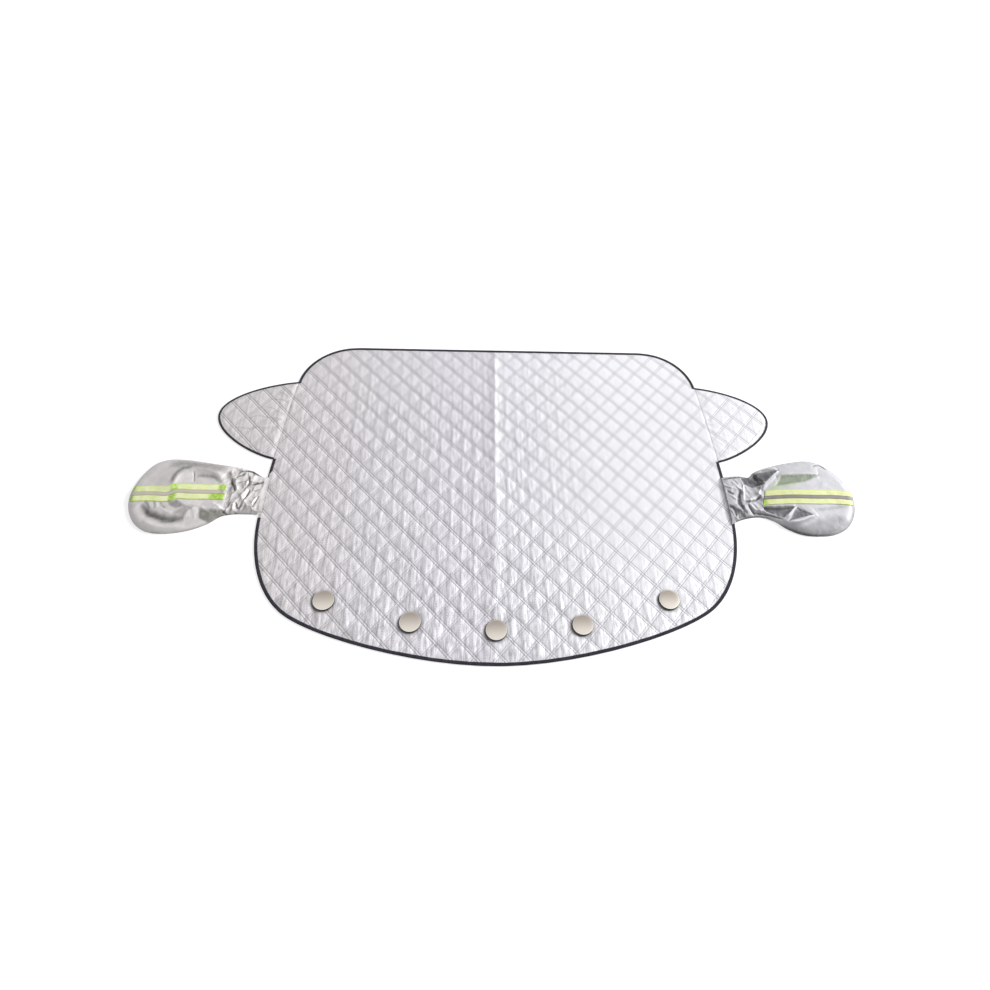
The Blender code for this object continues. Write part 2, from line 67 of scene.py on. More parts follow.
def crumple(x, y, seed):  # tilted facets, about one to each unit: their height, and how near a crease is
    i0, j0 = np.floor(x), np.floor(y)
    lowest, second = np.full(x.shape, 9.0), np.full(x.shape, 9.0)
    for di in (-1, 0, 1):
        for dj in (-1, 0, 1):
            i, j = i0 + di, j0 + dj
            dx, dy = x - i - scattered(i, j, seed), y - j - scattered(i, j, seed + 5)
            tilt = (scattered(i, j, seed + 9) - 0.5) * dx + (scattered(i, j, seed + 13) - 0.5) * dy
            level = dx * dx + dy * dy + 1.1 * tilt
            second = np.minimum(second, np.maximum(level, lowest))
            lowest = np.minimum(lowest, level)
    return lowest, second - lowest


def smoothStep(value, low, high):
    t = np.clip((value - low) / (high - low), 0, 1)
    return t * t * (3 - 2 * t)


def bell(distance, width):  # 1 at no distance, and nearly 0 at twice the width
    return np.exp(-((distance / width) ** 2))


def faded(share, gain, power):  # 0 at both ends of a path, 1 along its middle
    return np.clip(gain * share * (1 - share), 0, 1) ** power


# Outlines, as arrays of plan points

def nodePoints(name):
    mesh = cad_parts[name].data
    points = np.empty(len(mesh.vertices) * 3)
    mesh.vertices.foreach_get("co", points)
    return points.reshape(-1, 3)


def hull(points):  # counter-clockwise, without points on straight runs
    tolerance = 0.00002
    ordered = sorted(set(map(tuple, np.round(points[:, :2], 6))))

    def chain(items):
        found = []
        for p in items:
            while len(found) > 1:
                ax, ay = found[-1][0] - found[-2][0], found[-1][1] - found[-2][1]
                bx, by = p[0] - found[-2][0], p[1] - found[-2][1]
                if ax * by - ay * bx > tolerance * math.hypot(bx, by):
                    break
                found.pop()
            found.append(p)
        return found[:-1]

    return np.array(chain(ordered) + chain(ordered[::-1]))


def smoothLine(points, step, closed):  # a curve through the points, evenly divided
    points = np.asarray(points, float)
    count = len(points)
    fine = []
    for i in range(count if closed else count - 1):
        p = [points[(i + k) % count] if closed else points[min(max(i + k, 0), count - 1)] for k in (-1, 0, 1, 2)]
        gaps = [max(np.linalg.norm(p[k + 1] - p[k]), 1e-6) for k in range(3)]
        m1 = (p[1] - p[0]) / gaps[0] - (p[2] - p[0]) / (gaps[0] + gaps[1]) + (p[2] - p[1]) / gaps[1]
        m2 = (p[2] - p[1]) / gaps[1] - (p[3] - p[1]) / (gaps[1] + gaps[2]) + (p[3] - p[2]) / gaps[2]
        if not closed and i == 0:
            m1 = (p[2] - p[1]) / gaps[1]
        if not closed and i == count - 2:
            m2 = (p[2] - p[1]) / gaps[1]
        t = np.linspace(0, 1, 24, endpoint=False)[:, None]
        fine.append(
            (2 * t**3 - 3 * t**2 + 1) * p[1] + (t**3 - 2 * t**2 + t) * m1 * gaps[1]
            + (-2 * t**3 + 3 * t**2) * p[2] + (t**3 - t**2) * m2 * gaps[1]
        )
    fine = np.vstack(fine + [points[:1] if closed else points[-1:]])
    return evenly(fine, step, closed)


def eased(outline, step):  # a closed outline without the solids' facets
    line = evenly(np.vstack([outline, outline[:1]]), step, True)
    for _ in range(6):
        line = (np.roll(line, 1, axis=0) + 2 * line + np.roll(line, -1, axis=0)) / 4
    return line


def runAlong(line):  # how far along a line each of its points lies
    return np.concatenate([[0], np.cumsum(np.linalg.norm(np.diff(line, axis=0), axis=1))])


def heading(line):  # the direction of travel at each point
    ahead = np.gradient(line, axis=0)
    return ahead / np.linalg.norm(ahead, axis=1)[:, None]


def evenly(line, step, closed=False):
    run = runAlong(line)
    count = max(2, int(round(run[-1] / step)))
    at = np.linspace(0, run[-1], count + 1)[: count if closed else count + 1]
    return np.column_stack([np.interp(at, run, line[:, k]) for k in range(line.shape[1])])


def edgeDistance(x, y, outline):  # how far inside a closed outline each point lies, negative outside
    if len(outline) < 100:
        return exactDistance(x, y, outline)
    x, y = np.asarray(x, float), np.asarray(y, float)
    found = exactDistance(x, y, outline[::12])
    close = np.abs(found) < 0.035
    found[close] = exactDistance(x[close], y[close], outline)
    return found


def exactDistance(x, y, outline):
    nearest = np.full(x.shape, 1e9)
    inside = np.zeros(x.shape, bool)
    for a, b in zip(outline, np.roll(outline, -1, axis=0)):
        dx, dy = b - a
        t = np.clip(((x - a[0]) * dx + (y - a[1]) * dy) / (dx * dx + dy * dy), 0, 1)
        nearest = np.minimum(nearest, (x - a[0] - t * dx) ** 2 + (y - a[1] - t * dy) ** 2)
        crosses = (a[1] > y) != (b[1] > y)
        with np.errstate(divide="ignore", invalid="ignore"):
            inside ^= crosses & (x < dx * (y - a[1]) / dy + a[0])
    return np.where(inside, 1, -1) * np.sqrt(nearest)


# Meshes

def cutGrid(columns, rows, toPlan, inside):
    # A grid of quads, cut off along the line where inside() crosses zero
    u, v = np.meshgrid(columns, rows, indexing="ij")
    x, y = toPlan(u, v)
    depth = inside(x.ravel(), y.ravel()).reshape(x.shape)
    depth[np.abs(depth) < 0.0001] = 0.0
    number = np.arange(x.size).reshape(x.shape)
    corners = np.stack([number[:-1, :-1], number[1:, :-1], number[1:, 1:], number[:-1, 1:]], axis=-1).reshape(-1, 4)
    flat = depth.ravel()
    state = flat[corners] >= 0
    faces = corners[state.all(axis=1)].tolist()
    points = list(zip(x.ravel(), y.ravel()))
    crossing = {}

    def cross(a, b):
        key = (min(a, b), max(a, b))
        if key not in crossing:
            t = flat[key[0]] / (flat[key[0]] - flat[key[1]])
            p, q = points[key[0]], points[key[1]]
            crossing[key] = len(points)
            points.append((p[0] + (q[0] - p[0]) * t, p[1] + (q[1] - p[1]) * t))
        return crossing[key]

    for quad in corners[state.any(axis=1) & ~state.all(axis=1)].tolist():
        face = []
        for a, b in zip(quad, quad[1:] + quad[:1]):
            if flat[a] >= 0:
                face.append(a)
            if (flat[a] > 0 > flat[b]) or (flat[a] < 0 < flat[b]):
                face.append(cross(a, b))
        if len(face) > 2:
            faces.append(face)
    used = sorted({i for face in faces for i in face})
    renumber = {old: new for new, old in enumerate(used)}
    return np.array([points[i] for i in used]), [[renumber[i] for i in face] for face in faces]


def borderLoops(faces):
    ahead = {}
    edges = {(a, b) for face in faces for a, b in zip(face, face[1:] + face[:1])}
    for a, b in edges:
        if (b, a) not in edges:
            ahead[a] = b
    loops = []
    while ahead:
        start, here = next(iter(ahead.items()))
        loop = [start]
        del ahead[start]
        while here != start and here in ahead:
            loop.append(here)
            here = ahead.pop(here)
        loops.append(loop)
    return sorted(loops, key=len, reverse=True)


def closedCloth(plan, faces, top, under, padding):
    # Puts a back on a cut grid: padding is a list of plan points that shape the back inside its border
    border = borderLoops(faces)[0]
    ring = plan[border]
    flat = [Vector(p) for p in ring] + [Vector(p) for p in padding]
    made = delaunay_2d_cdt(flat, [], [list(range(len(ring)))], 1, 1e-7, True)
    backPlan = np.array([tuple(p) for p in made[0]])
    first = len(plan)
    points = np.vstack([np.column_stack([plan, top]), np.column_stack([backPlan, under(backPlan)])])
    place = {old: first + new for new, origins in enumerate(made[3]) for old in origins}
    back = [[first + i for i in reversed(face)] for face, origins in zip(made[2], made[5]) if origins]
    wall = []
    for k, a in enumerate(border):
        b = border[(k + 1) % len(border)]
        wall.append([b, a, place[k], place[(k + 1) % len(border)]])
    return points, faces + wall + back


def meshPiece(name, points, faces, material, smooth=True):
    mesh = bpy.data.meshes.new(name)
    mesh.from_pydata([tuple(p) for p in points], [], faces)
    mesh.update()
    if smooth:
        mesh.shade_smooth()
    mesh.materials.append(material)
    piece = bpy.data.objects.new(name, mesh)
    bpy.context.scene.collection.objects.link(piece)
    return piece


def paint(piece, name, values):
    layer = piece.data.attributes.new(name, "FLOAT", "POINT")
    layer.data.foreach_set("value", np.asarray(values, np.float32))


def unwrap(piece, coordinates):  # a UV map from one pair of numbers for each point
    layer = piece.data.uv_layers.new(name="Along")
    corners = np.empty(len(piece.data.loops), np.int64)
    piece.data.loops.foreach_get("vertex_index", corners)
    layer.data.foreach_set("uv", np.asarray(coordinates, np.float32)[corners].ravel())


def applyModifiers(piece):
    graph = bpy.context.evaluated_depsgraph_get()
    mesh = bpy.data.meshes.new_from_object(piece.evaluated_get(graph))
    piece.modifiers.clear()
    piece.data = mesh


def thicken(piece, thickness, offset):  # the wall grows downwards from the mesh at -1, upwards at 1
    wall = piece.modifiers.new("Wall", "SOLIDIFY")
    wall.thickness = thickness
    wall.offset = offset
    applyModifiers(piece)


def finishPiece(piece, slot, *nodes):
    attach(piece, "root")
    if nodes:
        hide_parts(*nodes)


def sweptBand(name, path, section, material):
    # A closed section, as points (outwards, up), carried along a plan path with the cloth on its left;
    # section(i) gives the points at one place
    ahead = heading(path)
    outwards = np.column_stack([ahead[:, 1], -ahead[:, 0]])
    rows = []
    for i in range(len(path)):
        shape = section(i)
        rows.append(np.column_stack([path[i] + outwards[i] * shape[:, :1], shape[:, 1]]))
    count = len(rows[0])
    faces = []
    for i in range(len(path) - 1):
        for k in range(count):
            a, b = i * count + k, i * count + (k + 1) % count
            faces.append([a, a + count, b + count, b])
    faces.append(list(range(count)))
    faces.append([(len(path) - 1) * count + k for k in reversed(range(count))])
    piece = meshPiece(name, np.vstack(rows), faces, material)
    run = runAlong(path)
    across = np.arange(count) / count * 2 * bindingTape["width"]
    unwrap(piece, np.column_stack([np.repeat(run, count), np.tile(across, len(path))]))
    return piece


# Materials

class Nodes:
    # Short ways to add and join shader nodes
    def __init__(self, name):
        self.material = bpy.data.materials.new(name)
        self.material.use_nodes = True
        self.tree = self.material.node_tree
        self.shader = self.tree.nodes["Principled BSDF"]

    def join(self, value, socket):
        if isinstance(value, bpy.types.NodeSocket):
            self.tree.links.new(value, socket)
        else:
            socket.default_value = value

    def math(self, operation, *values):
        node = self.tree.nodes.new("ShaderNodeMath")
        node.operation = operation
        for value, socket in zip(values, node.inputs):
            self.join(value, socket)
        return node.outputs[0]

    def vector(self, operation, *values):
        node = self.tree.nodes.new("ShaderNodeVectorMath")
        node.operation = operation
        for value, socket in zip(values, node.inputs):
            self.join(value, socket)
        return node.outputs[0]

    def object(self):
        return self.tree.nodes.new("ShaderNodeTexCoord").outputs["Object"]

    def uv(self):
        return self.tree.nodes.new("ShaderNodeTexCoord").outputs["UV"]

    def attribute(self, name):
        node = self.tree.nodes.new("ShaderNodeAttribute")
        node.attribute_name = name
        return node.outputs["Fac"]

    def mapped(self, vector, scale=(1, 1, 1), turn=0.0, place=(0, 0, 0)):
        node = self.tree.nodes.new("ShaderNodeMapping")
        self.join(vector, node.inputs["Vector"])
        node.inputs["Scale"].default_value = scale
        node.inputs["Rotation"].default_value = (0, 0, turn)
        node.inputs["Location"].default_value = place
        return node.outputs[0]

    def split(self, vector):
        node = self.tree.nodes.new("ShaderNodeSeparateXYZ")
        self.join(vector, node.inputs[0])
        return node.outputs

    def combine(self, x, y, z=0.0):
        node = self.tree.nodes.new("ShaderNodeCombineXYZ")
        for value, socket in zip((x, y, z), node.inputs):
            self.join(value, socket)
        return node.outputs[0]

    def noise(self, vector, scale=1.0, detail=2.0, roughness=0.5):
        node = self.tree.nodes.new("ShaderNodeTexNoise")
        self.join(vector, node.inputs["Vector"])
        node.inputs["Scale"].default_value = scale
        node.inputs["Detail"].default_value = detail
        node.inputs["Roughness"].default_value = roughness
        return node.outputs["Fac"]

    def range(self, value, low, high, newLow=0.0, newHigh=1.0, smooth=True):
        node = self.tree.nodes.new("ShaderNodeMapRange")
        node.interpolation_type = "SMOOTHSTEP" if smooth else "LINEAR"
        for item, socket in zip((value, low, high, newLow, newHigh), node.inputs):
            self.join(item, socket)
        return node.outputs[0]

    def mix(self, share, a, b, blend="MIX"):
        node = self.tree.nodes.new("ShaderNodeMix")
        node.data_type = "RGBA"
        node.blend_type = blend
        colours = [s for s in node.inputs if s.type == "RGBA"]
        self.join(share, node.inputs[0])
        for value, socket in zip((a, b), colours):
            self.join((*value, 1.0) if isinstance(value, tuple) else value, socket)
        return next(s for s in node.outputs if s.type == "RGBA")

    def bump(self, height, distance, strength):
        node = self.tree.nodes.new("ShaderNodeBump")
        self.join(height, node.inputs["Height"])
        node.inputs["Distance"].default_value = distance
        node.inputs["Strength"].default_value = strength
        return node.outputs[0]

    def shaded(self, colour, shade):  # a colour made lighter or darker by one number
        return self.mix(1.0, colour, self.combine(shade, shade, shade), "MULTIPLY")

    def finish(self, colour, roughness, metallic, normal=None, **others):
        self.join((*colour, 1.0) if isinstance(colour, tuple) else colour, self.shader.inputs["Base Color"])
        self.join(roughness, self.shader.inputs["Roughness"])
        self.join(metallic, self.shader.inputs["Metallic"])
        if normal is not None:
            self.join(normal, self.shader.inputs["Normal"])
        for key, value in others.items():
            self.shader.inputs[key.replace("_", " ")].default_value = value
        return self.material


foilLook = {
    "tones": (               # (x, colour): two on the left of the middle fold, two on its right; the left half painted darker as the fold's shade
        (-0.92, (0.655, 0.622, 0.630)), (-0.10, (0.710, 0.690, 0.738)),
        (0.02, (0.755, 0.748, 0.792)), (0.42, (0.830, 0.824, 0.862)),
    ),
    "besideFold": 0.030,     # the strips left and right of the middle fold: a painted shade on the left, a painted highlight on the right
    "stripTones": (0.93, 1.07),
    "thread": 0.0011,
    "threadAndGrooveShade": {"left": (0.22, 0.52), "right": (0.34, 0.44)},  # (rising, falling) lines: the thread's grey with its groove's painted shade, strongest on the falling lines of the left half, which lie across the lamp's light
    "wrinklePitch": 0.0085,
    "wrinkleLength": 0.055,
    # Painted highlights and shade of the foil's crinkles, and painted shade in their creases
    "wrinkleTones": (-0.10, 0.10),
    "creaseTones": (-0.10, 0.015),
    "lowerWrinkles": 1.8,    # how much stronger they are near the bonnet edge
    "mottle": 330,
    "mottleTones": (0.935, 1.065),
    "slopeTones": (0.83, 1.19),  # facing away from the lamp and facing it
    "lowerRight": 0.955,     # painted light: the right half's level near the bonnet edge and near the roof edge
    "upperRight": 1.035,
    "rightEdge": 0.955,
    "farTone": 1.025,
    "haloShift": (-0.0035, -0.0030),
    "halos": ((0.012, 0.42), (0.0035, 0.40)),  # (reach, darkness) of the shade round a magnet
    "bump": 0.0016,
    "roughness": (0.36, 0.46),
    "metallic": 0.35,
}

quilt = {
    "diamondWidth": 0.0718,
    "diamondHeight": 0.0805,
    "shift": (-0.0133, 0.0009),
    "turn": math.radians(0.74),
    "threadGap": 0.0072,     # between the two rows of a double line
    "threadLevel": 0.0024,
    "ridge": 0.0005,         # how far the cloth stands up between the two rows
    "puff": 0.0017,
    "calmPuff": 0.30,        # the share of it left in the smooth upper right
    "puffSharpness": 6.0,
    "crest": 0.0029,         # the upright fold in each diamond
    "foldX": -0.0195,        # the fold down the middle
    "samples": (0, 0.0746, 0.112, 0.20, 0.30, 0.40, 0.50, 0.60, 0.70, 0.80, 0.888, 0.9254),
}
quilt["spacing"] = 1 / math.hypot(1 / quilt["diamondWidth"], 1 / quilt["diamondHeight"])
magnets = {
    name: [(a + b) / 2 for a, b in zip(*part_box(name))]
    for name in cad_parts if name.startswith("magnet")
}


def magnetHalos(n, x, y):  # the soft shade round each magnet, from 0 to 1
    halo = 0.0
    moved, radius = foilLook["haloShift"], panel["magnetRadius"]
    for centre in magnets.values():
        aside, ahead = n.math("SUBTRACT", x, centre[0] + moved[0]), n.math("SUBTRACT", y, centre[1] + moved[1])
        away = n.math("SQRT", n.math("ADD", n.math("MULTIPLY", aside, aside), n.math("MULTIPLY", ahead, ahead)))
        soft, tight = (n.range(away, radius - 0.001, radius + reach, dark, 0.0) for reach, dark in foilLook["halos"])
        halo = n.math("MAXIMUM", halo, n.math("ADD", soft, tight))
    return halo


def foilMaterial():
    n = Nodes("quilted_foil")
    place = n.object()
    x, y = n.split(place)[0], n.split(place)[1]
    turned = n.split(n.mapped(n.vector("SUBTRACT", place, (*quilt["shift"], 0)), turn=-quilt["turn"]))
    across = n.math("DIVIDE", turned[0], quilt["diamondWidth"])
    along = n.math("DIVIDE", turned[1], quilt["diamondHeight"])
    side = n.range(x, quilt["foldX"] - 0.001, quilt["foldX"] + 0.001)
    gradual = n.range(x, -0.12, 0.10)
    threads, cells = 0.0, []
    # The double lines: the thread's grey darkened by the painted shade of its groove, by family and by side
    for k, value in enumerate((n.math("SUBTRACT", across, along), n.math("ADD", across, along))):
        near = n.math("MULTIPLY", n.math("PINGPONG", value, 0.5), quilt["spacing"])
        gap = n.math("ABSOLUTE", n.math("SUBTRACT", near, quilt["threadGap"] / 2))
        line = n.range(gap, foilLook["thread"] * 0.5, foilLook["thread"] * 1.5, 1.0, 0.0)
        leftInk, rightInk = (foilLook["threadAndGrooveShade"][half][k] for half in sides)
        ink = n.range(gradual, 0.0, 1.0, leftInk, rightInk, smooth=False)
        threads = n.math("MAXIMUM", threads, n.math("MULTIPLY", line, ink))
        cells.append(n.math("FLOOR", value))
    white = n.tree.nodes.new("ShaderNodeTexWhiteNoise")
    white.noise_dimensions = "2D"
    n.join(n.combine(*cells), white.inputs["Vector"])
    moved = n.vector("ADD", place, n.vector("MULTIPLY", white.outputs["Color"], (0.004, 0.035, 0.0)))
    pitch, length = 1 / foilLook["wrinklePitch"], 1 / foilLook["wrinkleLength"]
    wrinkles = n.noise(n.mapped(moved, (pitch, length, 1), 0.05), 1, 2.5)
    creases = n.noise(n.mapped(moved, (pitch * 0.75, length * 0.9, 1), -0.08, (3.0, 7.0, 1.0)), 1, 1)
    ridged = n.math("ABSOLUTE", n.math("SUBTRACT", creases, 0.5))
    mottle = n.noise(place, foilLook["mottle"], 2, 0.6)
    calm = n.math("MULTIPLY", n.range(x, 0.0, 0.42), n.range(y, -0.75, -0.10))
    calm = n.math("MAXIMUM", calm, n.range(y, 0.15, 0.55, 0.0, 0.6))
    lively = n.math("SUBTRACT", 1.0, n.math("MULTIPLY", calm, 0.75))
    look = foilLook
    # The crinkles' painted highlights and shade, their creases' painted shade, and the grain
    shade = n.range(wrinkles, 0.32, 0.68, *look["wrinkleTones"])
    shade = n.math("ADD", shade, n.range(ridged, 0.0, 0.07, *look["creaseTones"]))
    shade = n.math("MULTIPLY", shade, n.math("MULTIPLY", lively, n.range(y, -0.50, 0.0, look["lowerWrinkles"], 1.0)))
    shade = n.math("MULTIPLY", shade, n.range(x, -0.80, -0.70, 0.45, 1.0))
    shade = n.math("ADD", shade, n.range(mottle, 0.3, 0.7, *look["mottleTones"]))
    # Painted light from the slope attribute: lighter facing the lamp, darker facing away
    shade = n.math("MULTIPLY", shade, n.range(n.attribute("slope"), 0.0, 1.0, *look["slopeTones"], smooth=False))
    shade = n.math("MULTIPLY", shade, n.math("SUBTRACT", 1.0, threads))
    # Painted light: the right half's level falls towards the bonnet edge and the right edge, and the roof end is
    # lighter
    upwards = n.range(y, -0.5, 0.5, look["lowerRight"], look["upperRight"], smooth=False)
    level = n.math("MULTIPLY", upwards, n.range(x, 0.45, 0.72, 1.0, look["rightEdge"]))
    shade = n.math("MULTIPLY", shade, n.mix(side, (1.0, 1.0, 1.0), n.combine(level, level, level)))
    shade = n.math("MULTIPLY", shade, n.range(y, 0.2, 0.55, 1.0, look["farTone"]))
    shade = n.math("MULTIPLY", shade, n.math("SUBTRACT", 1.0, magnetHalos(n, x, y)))
    # Painted shade in the strip left of the middle fold, a painted highlight in the strip right of it
    off = n.math("SUBTRACT", x, quilt["foldX"])
    for k, sign in enumerate((-1, 1)):
        reach = n.math("MULTIPLY", off, sign)
        far = n.range(reach, look["besideFold"] * 0.6, look["besideFold"] * 1.2, 1.0, 0.0)
        strip = n.math("MULTIPLY", n.range(reach, 0.0, 0.001), far)
        shade = n.math("MULTIPLY", shade, n.range(strip, 0.0, 1.0, 1.0, look["stripTones"][k], smooth=False))
    # The left half painted darker than the right: the middle fold's painted shade
    stops = look["tones"]
    left = n.mix(n.range(x, stops[0][0], stops[1][0]), stops[0][1], stops[1][1])
    right = n.mix(n.range(x, stops[2][0], stops[3][0]), stops[2][1], stops[3][1])
    colour = n.mix(side, left, right)
    colour = n.shaded(colour, shade)
    height = n.math("ADD", wrinkles, n.math("MULTIPLY", ridged, 0.9))
    height = n.math("MULTIPLY", height, lively)
    height = n.math("ADD", height, n.math("MULTIPLY", mottle, 0.10))
    normal = n.bump(height, look["bump"], 0.9)
    return n.finish(colour, n.range(mottle, 0.3, 0.7, *look["roughness"]), look["metallic"], normal)


def threadMaterial(name, colour):
    n = Nodes(name)
    strand = n.noise(n.object(), 900, 1)
    shade = n.range(strand, 0.3, 0.7, 0.8, 1.2)
    return n.finish(n.shaded(colour, shade), 0.7, 0.0)


clothLook = {
    # One cloth in two copies set apart for the light: the shaded left lighter and glossier, the lit right darker and
    # duller
    "names": {"left": "silver_cloth_shaded", "right": "silver_cloth_lit"},
    "colour": {"left": (0.65, 0.62, 0.62), "right": (0.55, 0.55, 0.58)},
    "roughness": {"left": 0.44, "right": 0.55},
    "metallic": {"left": 0.22, "right": 0.12},
    # the colour of the tape's painted reflection on the cloth
    "mirroredTape": (0.86, 1.0, 0.66),
}


def coverMaterial(side):
    # Silver-coated cloth: a plain weave, a soft mottle, and the painted shade and painted highlights of its folds,
    # creases and gathers
    n = Nodes(clothLook["names"][side])
    colour = clothLook["colour"][side]
    place = n.object()
    weave = n.noise(n.mapped(place, (1500, 1500, 200)), 1, 1)
    mottle = n.noise(place, 55, 3)
    # The attribute read here holds the painted shade and painted highlights
    paintedLight = n.attribute("paintedLight")
    shade = n.math("MULTIPLY", n.range(mottle, 0.3, 0.7, 0.95, 1.04), paintedLight)
    colour = n.shaded(colour, shade)
    # A painted reflection of the yellow tape on the cloth
    colour = n.mix(1.0, colour, n.mix(n.attribute("tapeReflection"), (1.0, 1.0, 1.0), clothLook["mirroredTape"]), "MULTIPLY")
    normal = n.bump(n.math("ADD", weave, mottle), 0.0004, 0.5)
    roughness, metallic = clothLook["roughness"][side], clothLook["metallic"][side]
    return n.finish(colour, roughness, metallic, normal, Specular_IOR_Level=0.35)


bindingLook = {
    "tones": ((0.020, 0.018, 0.028), (0.034, 0.030, 0.045)),
    "rib": 0.0011,
    "wale": 0.0008,
    "roughness": 0.85,
}


def bindingMaterial():
    n = Nodes("dark_binding")
    uv = n.split(n.uv())
    ribs = n.math("SINE", n.math("MULTIPLY", uv[0], 2 * math.pi / bindingLook["rib"]))
    wale = n.math("SINE", n.math("MULTIPLY", uv[1], 2 * math.pi / bindingLook["wale"]))
    wear = n.noise(n.object(), 60, 3)
    colour = n.mix(n.range(wear, 0.35, 0.65), *bindingLook["tones"])
    normal = n.bump(n.math("ADD", ribs, wale), 0.00012, 0.8)
    gloss = {"Specular_IOR_Level": 0.25, "Sheen_Weight": 0.12, "Sheen_Roughness": 0.5}
    return n.finish(colour, bindingLook["roughness"], 0.0, normal, **gloss)


hiVis = {
    "width": 0.054,
    "stripe": 0.0135,
    "lift": 0.0008,
    "stripeLift": 0.0015,
    "thickness": 0.0005,
    "step": 0.0016,
    "grain": 0.0018,
    "bridge": 0.004,         # the tape spans folds up to about this far apart
    # The tape's left and right copies: the right painted darker, as the light falls stronger on that side
    "left": ((0.82, 0.90, 0.38), (0.92, 0.96, 0.62)),
    "right": ((0.72, 0.76, 0.32), (0.80, 0.82, 0.46)),
    "edge": (0.50, 0.78, 0.05),
    "deep": (0.32, 0.58, 0.02),
    # The grey stripe's left and right tones: painted light, lighter on the left and darker on the right
    "stripeTones": ((0.57, 0.53, 0.47), (0.215, 0.205, 0.20)),
    "stripeEdges": ((0.42, 0.42, 0.20), (0.16, 0.18, 0.10)),
}


def hiVisMaterial():
    # Deeper green as painted shade where the tape turns away from the light: at the step over the fold, its inner
    # ends and its tip
    n = Nodes("hi_vis_yellow")
    uv = n.split(n.uv())
    weft = n.math("SINE", n.math("MULTIPLY", uv[0], 2 * math.pi / 0.0009))
    warp = n.math("SINE", n.math("MULTIPLY", uv[1], 2 * math.pi / 0.0011))
    mottle = n.noise(n.object(), 80, 3)
    x = n.split(n.object())[0]
    edge = n.range(n.math("ABSOLUTE", uv[1]), hiVis["width"] * 0.5 - 0.004, hiVis["width"] * 0.5)
    left = n.mix(n.range(mottle, 0.3, 0.7), *hiVis["left"])
    right = n.mix(n.range(mottle, 0.3, 0.7), *hiVis["right"])
    # The right tape painted darker than the left for the stronger light on its side
    colour = n.mix(n.range(x, -0.1, 0.1), left, right)
    colour = n.mix(n.math("MULTIPLY", edge, 0.50), colour, hiVis["edge"])
    turned = n.math("MULTIPLY", n.range(x, -1.010, -1.002), n.range(x, -0.994, -0.980, 1.0, 0.0))
    lower = n.math("MULTIPLY", n.range(x, -0.895, -0.880), n.range(uv[1], -0.010, -0.004, 1.0, 0.0))
    inner = n.math("MAXIMUM", lower, n.range(x, -0.872, -0.862))
    inner = n.math("MULTIPLY", inner, n.range(x, -0.3, 0.3, 1.0, 0.0))
    outer = n.math("MULTIPLY", n.range(x, 0.848, 0.864, 1.0, 0.0), n.range(x, 0.0, 0.1))
    tip = n.math("MAXIMUM", outer, n.range(x, -1.116, -1.106, 1.0, 0.0))
    deep = n.math("MAXIMUM", n.math("MAXIMUM", turned, inner), tip)
    flecks = n.noise(n.mapped(n.object(), (120, 260, 60)), 1, 2)
    patchy = n.math("MULTIPLY", deep, n.range(flecks, 0.32, 0.55, 0.35, 1.0))
    colour = n.mix(n.math("MULTIPLY", patchy, 0.95), colour, hiVis["deep"])
    return n.finish(colour, 0.55, 0.0, n.bump(n.math("MULTIPLY", weft, warp), 0.0001, 0.7))


def stripeMaterial():
    n = Nodes("reflective_grey")
    uv = n.uv()
    cells = n.tree.nodes.new("ShaderNodeTexVoronoi")
    n.join(n.mapped(uv, (1100, 1100, 1)), cells.inputs["Vector"])
    cells.inputs["Scale"].default_value = 1.0
    beads = cells.outputs["Distance"]
    edge = n.range(n.math("ABSOLUTE", n.split(uv)[1]), hiVis["stripe"] * 0.5 - 0.003, hiVis["stripe"] * 0.5)
    side = n.range(n.split(n.object())[0], -0.1, 0.1)
    # Painted light: the stripe lighter on the left, darker on the right
    colour = n.mix(side, *hiVis["stripeTones"])
    colour = n.mix(edge, colour, n.mix(side, *hiVis["stripeEdges"]))
    return n.finish(colour, 0.55, 0.10, n.bump(beads, 0.0001, 0.6))


nickelLook = {
    "near": (0.36, 0.31, 0.27),  # painted reflection: the top darker away from the bonnet edge, and lighter beside it
    "far": (0.74, 0.69, 0.62),
    # A painted highlight round the top's rim
    "rim": (0.95, 0.90, 0.82),
    # The side wall painted near black as its shade
    "wall": (0.010, 0.009, 0.008),
    "roughness": 0.42,
    "metallic": 0.55,
}


def nickelMaterial():
    # The UV map runs from -1 to 1 across the disc
    n = Nodes("nickel")
    uv = n.split(n.uv())
    radius = n.math("SQRT", n.math("ADD", n.math("MULTIPLY", uv[0], uv[0]), n.math("MULTIPLY", uv[1], uv[1])))
    rings = n.noise(n.combine(n.math("MULTIPLY", radius, 60), 0.0), 1, 3)
    # Painted reflection: the top darker away from the bonnet edge, lighter beside it
    height = n.range(uv[1], -1, 1)
    colour = n.mix(height, nickelLook["far"], nickelLook["near"])
    # A painted highlight round the rim
    rim = n.math("MULTIPLY", n.range(radius, 0.925, 0.950), n.range(radius, 0.968, 0.978, 1.0, 0.0))
    colour = n.mix(n.math("MULTIPLY", rim, 0.5), colour, nickelLook["rim"])
    # The side wall painted near black as painted shade
    side = n.range(radius, 0.972, 0.990)
    colour = n.mix(side, colour, nickelLook["wall"])
    shade = n.range(rings, 0.3, 0.7, 0.97, 1.03)
    colour = n.shaded(colour, shade)
    metal = n.range(side, 0.0, 1.0, nickelLook["metallic"], 0.0)
    return n.finish(colour, nickelLook["roughness"], metal, n.bump(rings, 0.00005, 0.5))


# The camera, the lamps and the floor

